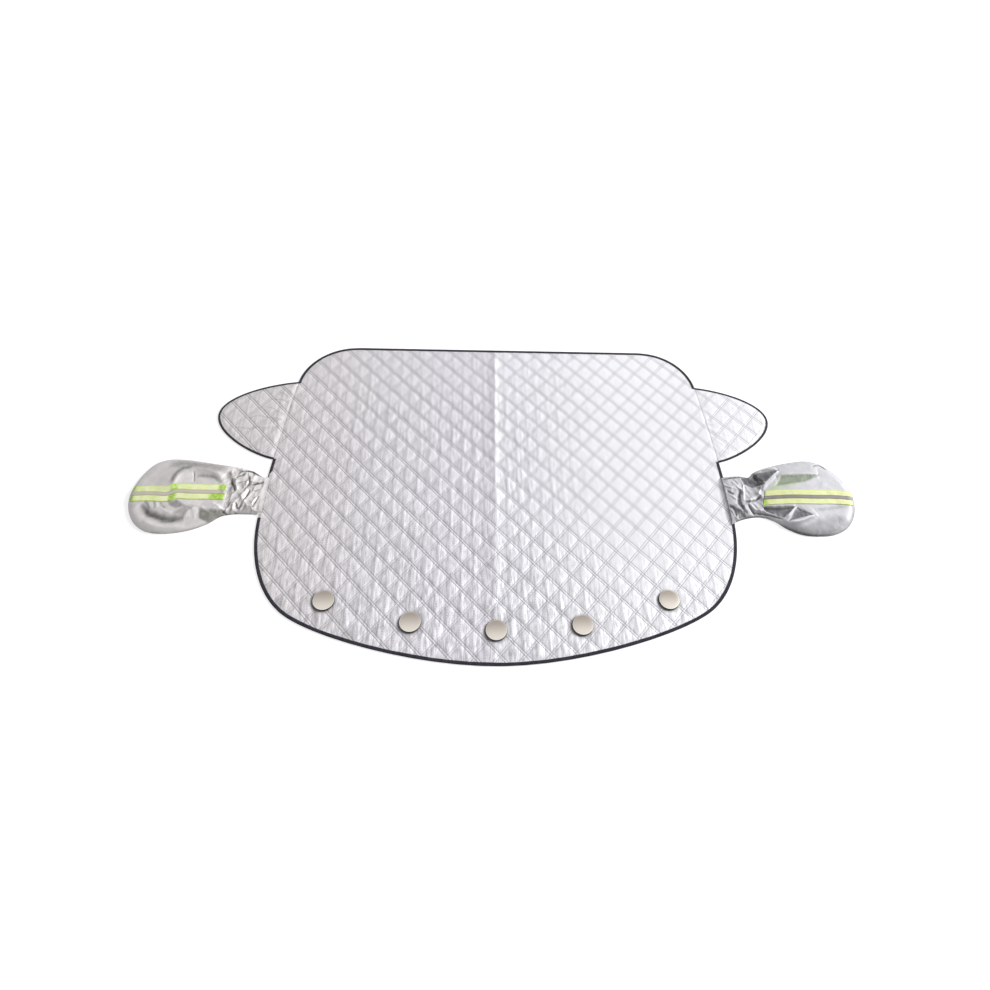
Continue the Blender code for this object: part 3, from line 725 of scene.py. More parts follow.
view = {
    "place": (-0.0334, -1.2405, 1.8676),
    "target": (0.1297, -0.0404, 0.0),
    "roll": math.radians(6.708),
    "lens": 25.447,
    "shift": (-0.0476, 0.00205),
}
lights = {
    "ambient": 0.33,
    "key": {"place": (10.0, 3.6, 5.6), "size": 4.2, "power": 1650.0},
    "fill": {"place": (-2.2, -3.4, 4.8), "size": 4.0, "power": 55.0},
}


def addCamera():
    data = bpy.data.cameras.new("camera")
    data.sensor_width = 36
    data.lens = view["lens"]
    data.shift_x, data.shift_y = view["shift"]
    camera = bpy.data.objects.new("camera", data)
    bpy.context.scene.collection.objects.link(camera)
    camera.location = view["place"]
    aim = (Vector(view["target"]) - camera.location).to_track_quat("-Z", "Y").to_matrix().to_4x4()
    turned = aim.to_3x3() @ Matrix.Rotation(view["roll"], 3, "Z")
    camera.rotation_euler = turned.to_euler()
    bpy.context.scene.camera = camera


def addLamp(name, facts):
    data = bpy.data.lights.new(name, "AREA")
    data.shape = "DISK"
    data.size = facts["size"]
    data.energy = facts["power"]
    lamp = bpy.data.objects.new(name, data)
    bpy.context.scene.collection.objects.link(lamp)
    lamp.location = facts["place"]
    lamp.rotation_euler = (-lamp.location).to_track_quat("-Z", "Y").to_euler()


def addWorld():
    # White where the camera and reflections see it, and a softer level on the object
    world = bpy.data.worlds.new("studio")
    bpy.context.scene.world = world
    world.use_nodes = True
    tree = world.node_tree
    background = tree.nodes["Background"]
    path = tree.nodes.new("ShaderNodeLightPath")
    seen = None
    for name in ("Is Camera Ray", "Is Glossy Ray", "Is Transmission Ray"):
        if seen is None:
            seen = path.outputs[name]
            continue
        most = tree.nodes.new("ShaderNodeMath")
        most.operation = "MAXIMUM"
        tree.links.new(seen, most.inputs[0])
        tree.links.new(path.outputs[name], most.inputs[1])
        seen = most.outputs[0]
    level = tree.nodes.new("ShaderNodeMapRange")
    tree.links.new(seen, level.inputs[0])
    level.inputs[3].default_value = lights["ambient"]
    level.inputs[4].default_value = 1.0
    tree.links.new(level.outputs[0], background.inputs["Strength"])
    background.inputs["Color"].default_value = (1, 1, 1, 1)


floor = {
    "reach": 9.0,
    "level": -0.0006,
    "tones": ((0.60, 0.60, 0.60), (0.62, 0.62, 0.62)),
    "glow": 0.60,
}


def addFloor():
    # A pale floor that keeps a soft shadow: part of its brightness is its own, for the camera only
    n = Nodes("pale_floor")
    grain = n.noise(n.object(), 6, 2)
    n.finish(n.mix(grain, *floor["tones"]), 0.9, 0.0, Specular_IOR_Level=0.0)
    path = n.tree.nodes.new("ShaderNodeLightPath")
    seen = n.math("MAXIMUM", path.outputs["Is Camera Ray"], path.outputs["Is Glossy Ray"])
    seen = n.math("MAXIMUM", seen, path.outputs["Is Transmission Ray"])
    n.shader.inputs["Emission Color"].default_value = (1, 1, 1, 1)
    n.join(n.math("MULTIPLY", seen, floor["glow"]), n.shader.inputs["Emission Strength"])
    corners = ((-1, -1), (1, -1), (1, 1), (-1, 1))
    points = [(floor["reach"] * x, floor["reach"] * y, floor["level"]) for x, y in corners]
    meshPiece("floor", points, [[0, 1, 2, 3]], n.material, smooth=False)


# The quilted cloth

def toPlan(u, v):
    x = (u + v) * quilt["diamondWidth"] / 2
    y = (v - u) * quilt["diamondHeight"] / 2
    c, s = math.cos(quilt["turn"]), math.sin(quilt["turn"])
    return c * x - s * y + quilt["shift"][0], s * x + c * y + quilt["shift"][1]


def toQuilt(x, y):
    c, s = math.cos(quilt["turn"]), math.sin(quilt["turn"])
    x, y = x - quilt["shift"][0], y - quilt["shift"][1]
    x, y = c * x + s * y, c * y - s * x
    across, along = x / quilt["diamondWidth"], y / quilt["diamondHeight"]
    return across - along, across + along


def quiltColumns(x, y):
    # The sample places along u and v that cover the points given
    u, v = toQuilt(x, y)
    samples = []
    for values in (u, v):
        cells = np.arange(math.floor(values.min()) - 1, math.ceil(values.max()) + 2)
        samples.append((cells[:, None] + np.array(quilt["samples"])[None, :]).ravel())
    return samples


def acrossLine(value):  # distance in metres from the nearest double line
    return np.abs(value - np.round(value)) * quilt["spacing"]


def quiltHeight(x, y, lively, calm):
    u, v = toQuilt(x, y)
    half = quilt["threadGap"] / 2
    rise, ridge = 1.0, 0.0
    for value in (u, v):
        d = acrossLine(value)
        t = np.clip((d - half) / (quilt["spacing"] / 2 - half), 0, 1)
        rise = rise * (1 - (1 - t) ** quilt["puffSharpness"])
        ridge = np.maximum(ridge, 1 - np.minimum(d / half, 1) ** 2)
    cellU, cellV = np.floor(u), np.floor(v)
    a, b = u - cellU - 0.5, v - cellV - 0.5
    inX, inY = (a + b) * quilt["diamondWidth"] / 2, (b - a) * quilt["diamondHeight"] / 2
    lean = 0.08 * inY * (scattered(cellU, cellV, 12) - 0.5)
    crestX = inX + 0.003 - 0.006 * (scattered(cellU, cellV, 11) - 0.5) - lean
    crest = np.where(crestX > 0, np.exp(-crestX / 0.0085), np.exp(crestX / 0.0032))
    second = crestX + 0.0145 * np.where(scattered(cellU, cellV, 14) > 0.5, 1, -1)
    crest = crest + 0.6 * np.where(second > 0, np.exp(-second / 0.006), np.exp(second / 0.0030))
    full = 0.85 + 0.3 * scattered(cellU, cellV, 3)
    puff = quilt["puff"] * (1 + (quilt["calmPuff"] - 1) * calm)
    z = quilt["threadLevel"] + puff * full * rise + quilt["ridge"] * ridge * (1 - 0.6 * calm)
    strength = 0.35 + 0.65 * scattered(cellU, cellV, 17)
    return z + quilt["crest"] * strength * lively * (crest - 0.35) * rise**0.7


# The panel

panel = {
    "rimLevel": 0.0024,      # the cloth's top under the tape
    "tapeWidth": 0.0100,
    "seamRound": 0.006,
    "seamLevel": 0.0016,
    "foldHeight": 0.0016,
    "foldWidths": (0.022, 0.006),
    "wave": 0.0007,          # how far the cloth lies unevenly on the floor
    "backLevel": 0.0003,
    "backAtStitch": 0.0012,
    "magnetSeat": 0.0031,
    "magnetRadius": 0.0305,
    "slopeGain": 1.5,
    "longCreases": (  # (plan points, height, width): wrinkles that run on over many diamonds
        (((-0.455, 0.255), (-0.492, 0.060), (-0.520, -0.130), (-0.545, -0.290)), 0.0009, 0.0042),
        (((-0.345, 0.560), (-0.352, 0.420), (-0.372, 0.200)), 0.0006, 0.0040),
        (((-0.075, 0.300), (-0.082, 0.050), (-0.088, -0.160)), 0.0006, 0.0045),
        (((0.045, 0.200), (0.040, -0.050), (0.032, -0.330)), 0.0006, 0.0045),
        (((0.150, 0.330), (0.185, 0.120), (0.215, -0.040)), 0.0005, 0.0050),
        (((-0.200, -0.120), (-0.215, -0.330), (-0.222, -0.520)), 0.0006, 0.0045),
    ),
}


def lineDistance(x, y, path):
    # Signed distance from a path, and how far along it the nearest place is, from 0 to 1
    path = np.asarray(path, float)
    lengths = np.linalg.norm(np.diff(path, axis=0), axis=1)
    total, run = lengths.sum(), 0.0
    best, signed, share = np.full(x.shape, 1e9), np.zeros(x.shape), np.zeros(x.shape)
    for a, b, length in zip(path[:-1], path[1:], lengths):
        dx, dy = (b - a) / length
        raw = (x - a[0]) * dx + (y - a[1]) * dy
        t = np.clip(raw, 0, length)
        away = np.hypot(x - a[0] - t * dx, y - a[1] - t * dy)
        side = np.sign(dx * (y - a[1]) - dy * (x - a[0]))
        closer = away < best
        best = np.where(closer, away, best)
        signed = np.where(closer, away * side, signed)
        share = np.where(closer, (run + t) / total, share)
        run += length
    return signed, share


def creaseHeight(x, y, path, height, width):
    d, share = lineDistance(x, y, smoothLine(path, 0.02, False))
    return height * bell(d, width) * faded(share, 4, 0.5)


panelEdge = eased(hull(nodePoints("quilted_panel")), 0.005)
seamSpans = []
for nodeName in ("door_flap_right", "mirror_cover_neck_right"):
    low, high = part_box(nodeName)
    seamSpans.append((low.y, high.y))


def seamShare(y):  # 1 where the panel's side is sewn to a flap or a neck, 0 where it is bound
    found = 0.0
    for low, high in seamSpans:
        begun, ended = smoothStep(y, low - 0.002, low + 0.002), smoothStep(y, high - 0.002, high + 0.002)
        found = np.maximum(found, begun * (1 - ended))
    return found


def panelTop(x, y, depth):
    calm = smoothStep(x, 0.0, 0.42) * smoothStep(y, -0.75, -0.10)
    edge = smoothStep(-x, 0.45, 0.70)
    far = smoothStep(y, 0.15, 0.55)
    low = 1 + 0.30 * smoothStep(-y, 0.15, 0.50)
    z = quiltHeight(x, y, (1 - 0.85 * calm) * (1 - 0.4 * edge) * (1 - 0.45 * far) * low, np.maximum(calm, 0.5 * far))
    for path, height, width in panel["longCreases"]:
        z = z + creaseHeight(x, y, path, height, width) * smoothStep(z, 0.0022, 0.0040)
    wander = quilt["foldX"] + 0.0012 * softNoise(y / 0.12, y * 0, 5)
    off = x - wander
    left, right = panel["foldWidths"]
    z = z + panel["foldHeight"] * np.where(off < 0, bell(off, left), bell(off, right))
    z = z + panel["wave"] * softNoise(x / 0.17, y / 0.21, 8)
    for place in magnets.values():
        r = np.hypot(x - place[0], y - place[1])
        seat = smoothStep(r, panel["magnetRadius"] + 0.0015, panel["magnetRadius"] + 0.015)
        z = panel["magnetSeat"] + (z - panel["magnetSeat"]) * seat
    sewn = seamShare(y)
    bound = smoothStep(depth, panel["tapeWidth"] - 0.001, panel["tapeWidth"] + 0.009)
    flat = panel["rimLevel"] + (z - panel["rimLevel"]) * bound
    t = np.clip(depth / panel["seamRound"], 0, 1)
    rounded = panel["seamLevel"] + (z - panel["seamLevel"]) * np.sqrt(1 - (1 - t) ** 2)
    return flat + (rounded - flat) * sewn


def slopeShare(height, x, y):
    # 0 where the cloth faces away from the lamp, 1 where it faces it
    ahead, behind = height(x + 0.0016, y + 0.0006), height(x - 0.0016, y - 0.0006)
    return np.clip(0.5 + panel["slopeGain"] * (behind - ahead) / 0.0034, 0, 1)


def seamPaintedLight(slope, x, y, away, sewn, strip):
    # The seam with a flap or a neck: a painted highlight on the flap's strip on the left, a thin painted shadow line
    # on the right
    wide = 1 + 1.4 * smoothStep(-y, -0.32, -0.13)
    strip = strip * (1 - smoothStep(away, 0.004 * wide, 0.009 * wide)) * (x < 0) * sewn
    line = (1 - smoothStep(away, 0.001, 0.0035)) * (x > 0) * sewn
    return slope + (1.15 - slope) * strip + (-0.5 - slope) * line


def quiltBack(x, y, depth):
    u, v = toQuilt(x, y)
    rise = 1.0
    for value in (u, v):
        rise = rise * np.clip(acrossLine(value) / (quilt["spacing"] / 2), 0, 1)
    level = panel["backAtStitch"] + (panel["backLevel"] - panel["backAtStitch"]) * rise**0.5
    edge = smoothStep(depth, 0.0, 0.012)
    return 0.00125 + (level - 0.00125) * edge


def quiltBackPoints(plan, inside):
    u, v = toQuilt(plan[:, 0], plan[:, 1])
    found = []
    for i in np.arange(math.floor(u.min() * 2), math.ceil(u.max() * 2) + 1) / 2:
        for j in np.arange(math.floor(v.min() * 2), math.ceil(v.max() * 2) + 1) / 2:
            found.append(toPlan(i, j))
    found = np.array(found)
    return found[inside(found[:, 0], found[:, 1]) > 0.008]


def makePanel(foil):
    def inside(x, y):
        return edgeDistance(x, y, panelEdge)

    columns, rows = quiltColumns(panelEdge[:, 0], panelEdge[:, 1])
    plan, faces = cutGrid(columns, rows, toPlan, inside)
    depth = np.maximum(inside(plan[:, 0], plan[:, 1]), 0)
    top = panelTop(plan[:, 0], plan[:, 1], depth)

    def under(p):
        return quiltBack(p[:, 0], p[:, 1], np.maximum(inside(p[:, 0], p[:, 1]), 0))

    # The slope attribute: painted light by how the cloth faces the lamp, with the seam's painted highlight and
    # shadow
    slope = slopeShare(lambda x, y: panelTop(x, y, depth), plan[:, 0], plan[:, 1])
    threads = np.minimum(*(acrossLine(value) for value in toQuilt(plan[:, 0], plan[:, 1])))
    cushion = 0.35 + 0.65 * smoothStep(threads, 0.004, 0.010)
    slope = 0.5 + (slope - 0.5) * cushion * (1.15 - 0.55 * smoothStep(plan[:, 0], 0.0, 0.3))
    slope = seamPaintedLight(slope, *plan.T, depth, seamShare(plan[:, 1]), 0.0)
    points, faces = closedCloth(plan, faces, top, under, quiltBackPoints(plan, inside))
    piece = meshPiece("quilted_cloth", points, faces, foil)
    paint(piece, "slope", np.concatenate([slope, np.full(len(points) - len(plan), 0.5)]))
    finishPiece(piece, "quilted_foil", "quilted_panel")
    area = float(shoelace(panelEdge))
    print("panel", len(piece.data.polygons), "faces")


def shoelace(outline):
    x, y = outline[:, 0], outline[:, 1]
    return abs(np.sum(x * np.roll(y, -1) - np.roll(x, -1) * y)) / 2


# The door flaps

flap = {
    "seamStrip": 0.014,      # the folded strip of cloth beside the panel
    "seamLevel": {"left": 0.0014, "right": 0.0025},
    "gap": {"left": 0.0, "right": -0.0006},
    "gather": 0.0010,
    "rise": 0.0008,
    "lively": {"left": 0.35, "right": 0.12},
    "calm": {"left": 0.2, "right": 0.85},
    "creaseShade": 0.65,
    "creaseWidth": 0.0026,
    "creases": (             # painted shade along these creases on the left flap, running out from its seam
        ((-0.712, 0.326), (-0.729, 0.339), (-0.748, 0.346), (-0.776, 0.346)),
        ((-0.720, 0.284), (-0.740, 0.292), (-0.760, 0.305), (-0.790, 0.315)),
        ((-0.720, 0.256), (-0.748, 0.265), (-0.777, 0.269), (-0.801, 0.274), (-0.820, 0.269), (-0.833, 0.257)),
        ((-0.752, 0.231), (-0.777, 0.223), (-0.797, 0.229), (-0.818, 0.220), (-0.842, 0.222), (-0.870, 0.226)),
        ((-0.718, 0.356), (-0.736, 0.372), (-0.757, 0.382)),
    ),
}


def freeEdge(side):
    # The free edge from root to root, counter-clockwise
    corners = hull(nodePoints("door_flap_" + side))
    depth = edgeDistance(corners[:, 0], corners[:, 1], panelEdge)
    roots = np.argsort(-depth)[:2]
    first, last = sorted(roots)
    ring = np.vstack([corners[first: last + 1]]), np.vstack([corners[last:], corners[: first + 1]])
    free = max(ring, key=lambda part: len(part))
    return smoothLine(free, 0.003, False)


def makeFlap(side, sign, foil):
    free = freeEdge(side)
    centre = np.array([[0.0, free[:, 1].mean()]])
    outline = np.vstack([free, centre])

    def inside(x, y):
        return np.minimum(edgeDistance(x, y, outline), -edgeDistance(x, y, panelEdge) - flap["gap"][side])

    columns, rows = (
        np.sort(np.concatenate([values, (values[1:] + values[:-1]) / 2]))
        for values in quiltColumns(free[:, 0], free[:, 1])
    )
    plan, faces = cutGrid(columns, rows, toPlan, inside)
    x, y = plan[:, 0], plan[:, 1]
    fromPanel = -edgeDistance(x, y, panelEdge)
    fromFree = np.maximum(edgeDistance(x, y, outline), 0)
    radial = np.arctan2(y - free[:, 1].mean(), np.abs(x) - 0.60)
    gather = softNoise(radial * 16, fromPanel / 0.05, 31) + 0.6 * softNoise(radial * 34, fromPanel / 0.04, 32)
    near = np.exp(-fromPanel / 0.05)
    z = quiltHeight(x, y, flap["lively"][side], flap["calm"][side])
    z = z + gather * near * flap["gather"] * smoothStep(fromPanel, 0.0, 0.02)
    z = z + flap["rise"] * smoothStep(fromPanel, 0.004, 0.03)
    seam = smoothStep(fromPanel, 0.0, flap["seamStrip"])
    z = flap["seamLevel"][side] + (z - flap["seamLevel"][side]) * seam
    bound = smoothStep(fromFree, panel["tapeWidth"] - 0.001, panel["tapeWidth"] + 0.008)
    z = panel["rimLevel"] + (z - panel["rimLevel"]) * bound

    def under(p):
        return quiltBack(p[:, 0], p[:, 1], np.maximum(inside(p[:, 0], p[:, 1]), 0))

    points, faces = closedCloth(plan, faces, z, under, quiltBackPoints(plan, inside))
    piece = meshPiece("flap_cloth_" + side, points, faces, foil)
    slope = slopeShare(lambda x, y: quiltHeight(x, y, 0.35, 0.5), x, y)
    slope = slope if sign < 0 else 0.5 + 0.35 * (slope - 0.5)
    # Painted shade in the gathers beside the seam and along the creases
    slope = np.clip(slope - 0.45 * gather * near * (1 - 0.5 * (sign > 0)), -0.2, 1.2)
    for path in flap["creases"] if sign < 0 else ():
        d, share = lineDistance(x, y, smoothLine(path, 0.004, False))
        slope = slope - flap["creaseShade"] * bell(d, flap["creaseWidth"]) * faded(share, 4, 0.5)
    slope = seamPaintedLight(slope, x, y, np.maximum(fromPanel, 0), 1.0, 1.0)
    paint(piece, "slope", np.concatenate([slope, np.full(len(points) - len(plan), 0.5)]))
    finishPiece(piece, "quilted_foil", "door_flap_" + side)
    whole = sum(shoelace(plan[face]) for face in faces if max(face) < len(plan))
    print("flap", side, len(piece.data.polygons), "faces")
    return free


# Sewing thread

stitch = {"pitch": 0.0062, "length": 0.0054, "width": 0.0011, "thickness": 0.0008}


def stitchTree():
    # Instances of one thread bead along every line, turned to follow it
    tree = bpy.data.node_groups.new("stitches along lines", "GeometryNodeTree")
    face = tree.interface
    face.new_socket("Lines", in_out="INPUT", socket_type="NodeSocketGeometry")
    for name in ("Pitch", "Length", "Width", "Thickness"):
        face.new_socket(name, in_out="INPUT", socket_type="NodeSocketFloat")
    face.new_socket("Thread", in_out="INPUT", socket_type="NodeSocketMaterial")
    face.new_socket("Stitches", in_out="OUTPUT", socket_type="NodeSocketGeometry")
    add, join = tree.nodes.new, tree.links.new
    given, out = add("NodeGroupInput"), add("NodeGroupOutput")
    curve = add("GeometryNodeMeshToCurve")
    join(given.outputs["Lines"], curve.inputs["Mesh"])
    spaced = add("GeometryNodeResampleCurve")
    spaced.mode = "LENGTH"
    join(curve.outputs["Curve"], spaced.inputs["Curve"])
    join(given.outputs["Pitch"], spaced.inputs["Length"])
    bead = add("GeometryNodeMeshUVSphere")
    bead.inputs["Segments"].default_value = 4
    bead.inputs["Rings"].default_value = 2
    bead.inputs["Radius"].default_value = 0.5
    size = add("ShaderNodeCombineXYZ")
    for name, axis in (("Length", "X"), ("Width", "Y"), ("Thickness", "Z")):
        join(given.outputs[name], size.inputs[axis])
    turn = add("FunctionNodeAlignRotationToVector")
    turn.axis = "X"
    join(add("GeometryNodeInputTangent").outputs[0], turn.inputs["Vector"])
    placed = add("GeometryNodeInstanceOnPoints")
    join(spaced.outputs["Curve"], placed.inputs["Points"])
    join(bead.outputs["Mesh"], placed.inputs["Instance"])
    join(turn.outputs[0], placed.inputs["Rotation"])
    join(size.outputs[0], placed.inputs["Scale"])
    real = add("GeometryNodeRealizeInstances")
    join(placed.outputs[0], real.inputs[0])
    painted = add("GeometryNodeSetMaterial")
    join(real.outputs[0], painted.inputs["Geometry"])
    join(given.outputs["Thread"], painted.inputs["Material"])
    join(painted.outputs[0], out.inputs[0])
    return tree


def sewLines(name, lines, tree, thread, sizes):
    points, edges = [], []
    for line in lines:
        first = len(points)
        points.extend(map(tuple, line))
        edges.extend((first + k, first + k + 1) for k in range(len(line) - 1))
    mesh = bpy.data.meshes.new(name)
    mesh.from_pydata(points, edges, [])
    piece = bpy.data.objects.new(name, mesh)
    bpy.context.scene.collection.objects.link(piece)
    modifier = piece.modifiers.new("Stitches", "NODES")
    modifier.node_group = tree
    sockets = {item.name: item.identifier for item in tree.interface.items_tree if item.in_out == "INPUT"}
    for key, value in (*sizes.items(), ("thread", thread)):
        modifier[sockets[key.capitalize()]] = value
    bpy.context.view_layer.update()
    applyModifiers(piece)
    return piece


def quiltLines(inside, topAt, reachU, reachV):
    # The rows of stitches that lie inside a piece of cloth, as 3D lines
    half = quilt["threadGap"] / 2 / quilt["spacing"]
    lines = []
    for family in (0, 1):
        own, other = (reachU, reachV) if family == 0 else (reachV, reachU)
        for line in range(math.floor(own[0]), math.ceil(own[1]) + 1):
            for offset in (-half, half):
                run = np.arange(other[0] - 1, other[1] + 1, 0.1)
                beside = np.full(run.shape, line + offset)
                x, y = toPlan(beside, run) if family == 0 else toPlan(run, beside)
                keep = inside(x, y) > 0.0115
                for part in np.split(np.arange(len(run)), np.flatnonzero(np.diff(keep.astype(int))) + 1):
                    if keep[part[0]] and len(part) > 2:
                        z = topAt(x[part], y[part]) + stitch["thickness"] * 0.2
                        lines.append(np.column_stack([x[part], y[part], z]))
    return lines


def reachOf(points):
    u, v = toQuilt(points[:, 0], points[:, 1])
    return (u.min(), u.max()), (v.min(), v.max())


# The dark binding

bindingTape = {
    "width": 0.0086,
    "flapWidth": 0.0061,
    "outer": 0.0013,
    "thickness": 0.0008,
    "top": 0.0037,
    "step": 0.0030,
    "stitchFromEdge": 0.0018,
    "overlap": 0.0045,       # how far the ends run past their solids, to meet each other
    "sideEnd": {"left": 0.0250, "right": 0.0280},
}


def tapeSection(i, seed, w):
    # A folded tape: a soft U with its open side towards the cloth
    t, o, top = (bindingTape[key] for key in ("thickness", "outer", "top"))
    waver = float(softNoise(np.array([i * 0.11]), np.array([0.5]), seed)[0])
    swell = float(softNoise(np.array([i * 0.23]), np.array([1.5]), seed)[0])
    w = w + 0.0005 * waver
    top = top + 0.00025 * swell
    return np.array([
        (-w, top - t), (-w, top - 0.0003), (-w + 0.0006, top), (-w * 0.6, top + 0.0002), (-w * 0.25, top),
        (o - 0.0009, top - 0.0005), (o - 0.0002, top - 0.0013), (o, top * 0.5), (o - 0.0002, 0.0009),
        (o - 0.0010, 0.0002), (-w * 0.5, 0.0), (-w, 0.0), (-w, t), (-0.0004, t + 0.0001),
        (o - t, top * 0.35), (o - t, top * 0.6), (-0.0004, top - t - 0.0001),
    ])


def makeBinding(name, path, material):
    path = evenly(path, bindingTape["step"])
    seed = 40 + len(path) % 17
    width = bindingTape["flapWidth" if "flap" in name else "width"]
    piece = sweptBand(name.replace("binding", "bound_edge"), path, lambda i: tapeSection(i, seed, width), material)
    bm = bmesh.new()
    bm.from_mesh(piece.data)
    bmesh.ops.recalc_face_normals(bm, faces=bm.faces)
    bm.to_mesh(piece.data)
    bm.free()
    finishPiece(piece, "binding", name)
    ahead = heading(path)
    inwards = np.column_stack([-ahead[:, 1], ahead[:, 0]])
    row = path + inwards * (width - bindingTape["stitchFromEdge"])
    return np.column_stack([row, np.full(len(row), bindingTape["top"] + 0.0002)])


def panelEdgeBetween(sign, high, low):
    # The side of the panel from one height down to another, seen from its own side
    fine = evenly(np.vstack([panelEdge, panelEdge[:1]]), 0.001)
    keep = (fine[:, 0] * sign > 0) & (fine[:, 1] < high) & (fine[:, 1] > low)
    part = fine[keep]
    return part[np.argsort(-part[:, 1])]


def panelEdgeBeyond(level, above):
    # The stretch over the roof edge, or round the bonnet edge, counter-clockwise
    fine = evenly(np.vstack([panelEdge, panelEdge[:1]]), 0.001)
    keep = fine[:, 1] > level if above else fine[:, 1] < level
    start = int(np.flatnonzero(keep & ~np.roll(keep, 1))[0])
    order = np.roll(fine, -start, axis=0)
    return order[np.roll(keep, -start)]


def makeBindings(flapEdge, tape, tree, thread):
    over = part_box("binding_top")[0].y - bindingTape["overlap"]
    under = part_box("binding_bottom")[1].y + bindingTape["overlap"]
    rows = [
        makeBinding("binding_top", panelEdgeBeyond(over, True), tape),
        makeBinding("binding_bottom", panelEdgeBeyond(under, False), tape),
    ]
    for side, sign in sides.items():
        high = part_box("binding_side_" + side)[1]
        short = panelEdgeBetween(sign, high.y + bindingTape["overlap"], bindingTape["sideEnd"][side])
        rows.append(makeBinding("binding_side_" + side, short[::-1] if sign > 0 else short, tape))
        free = flapEdge[side]
        clear = edgeDistance(free[:, 0], free[:, 1], panelEdge) < 0.0
        rows.append(makeBinding("binding_flap_" + side, free[clear], tape))
    sizes = dict(stitch, pitch=0.0040, length=0.0030, width=0.0006, thickness=0.0005)
    seam = sewLines("binding_thread", rows, tree, thread, sizes)
    finishPiece(seam, "binding")
    print("bindings and their thread")


# The mirror covers: one height for neck and pouch together, cut into two pieces where they are sewn

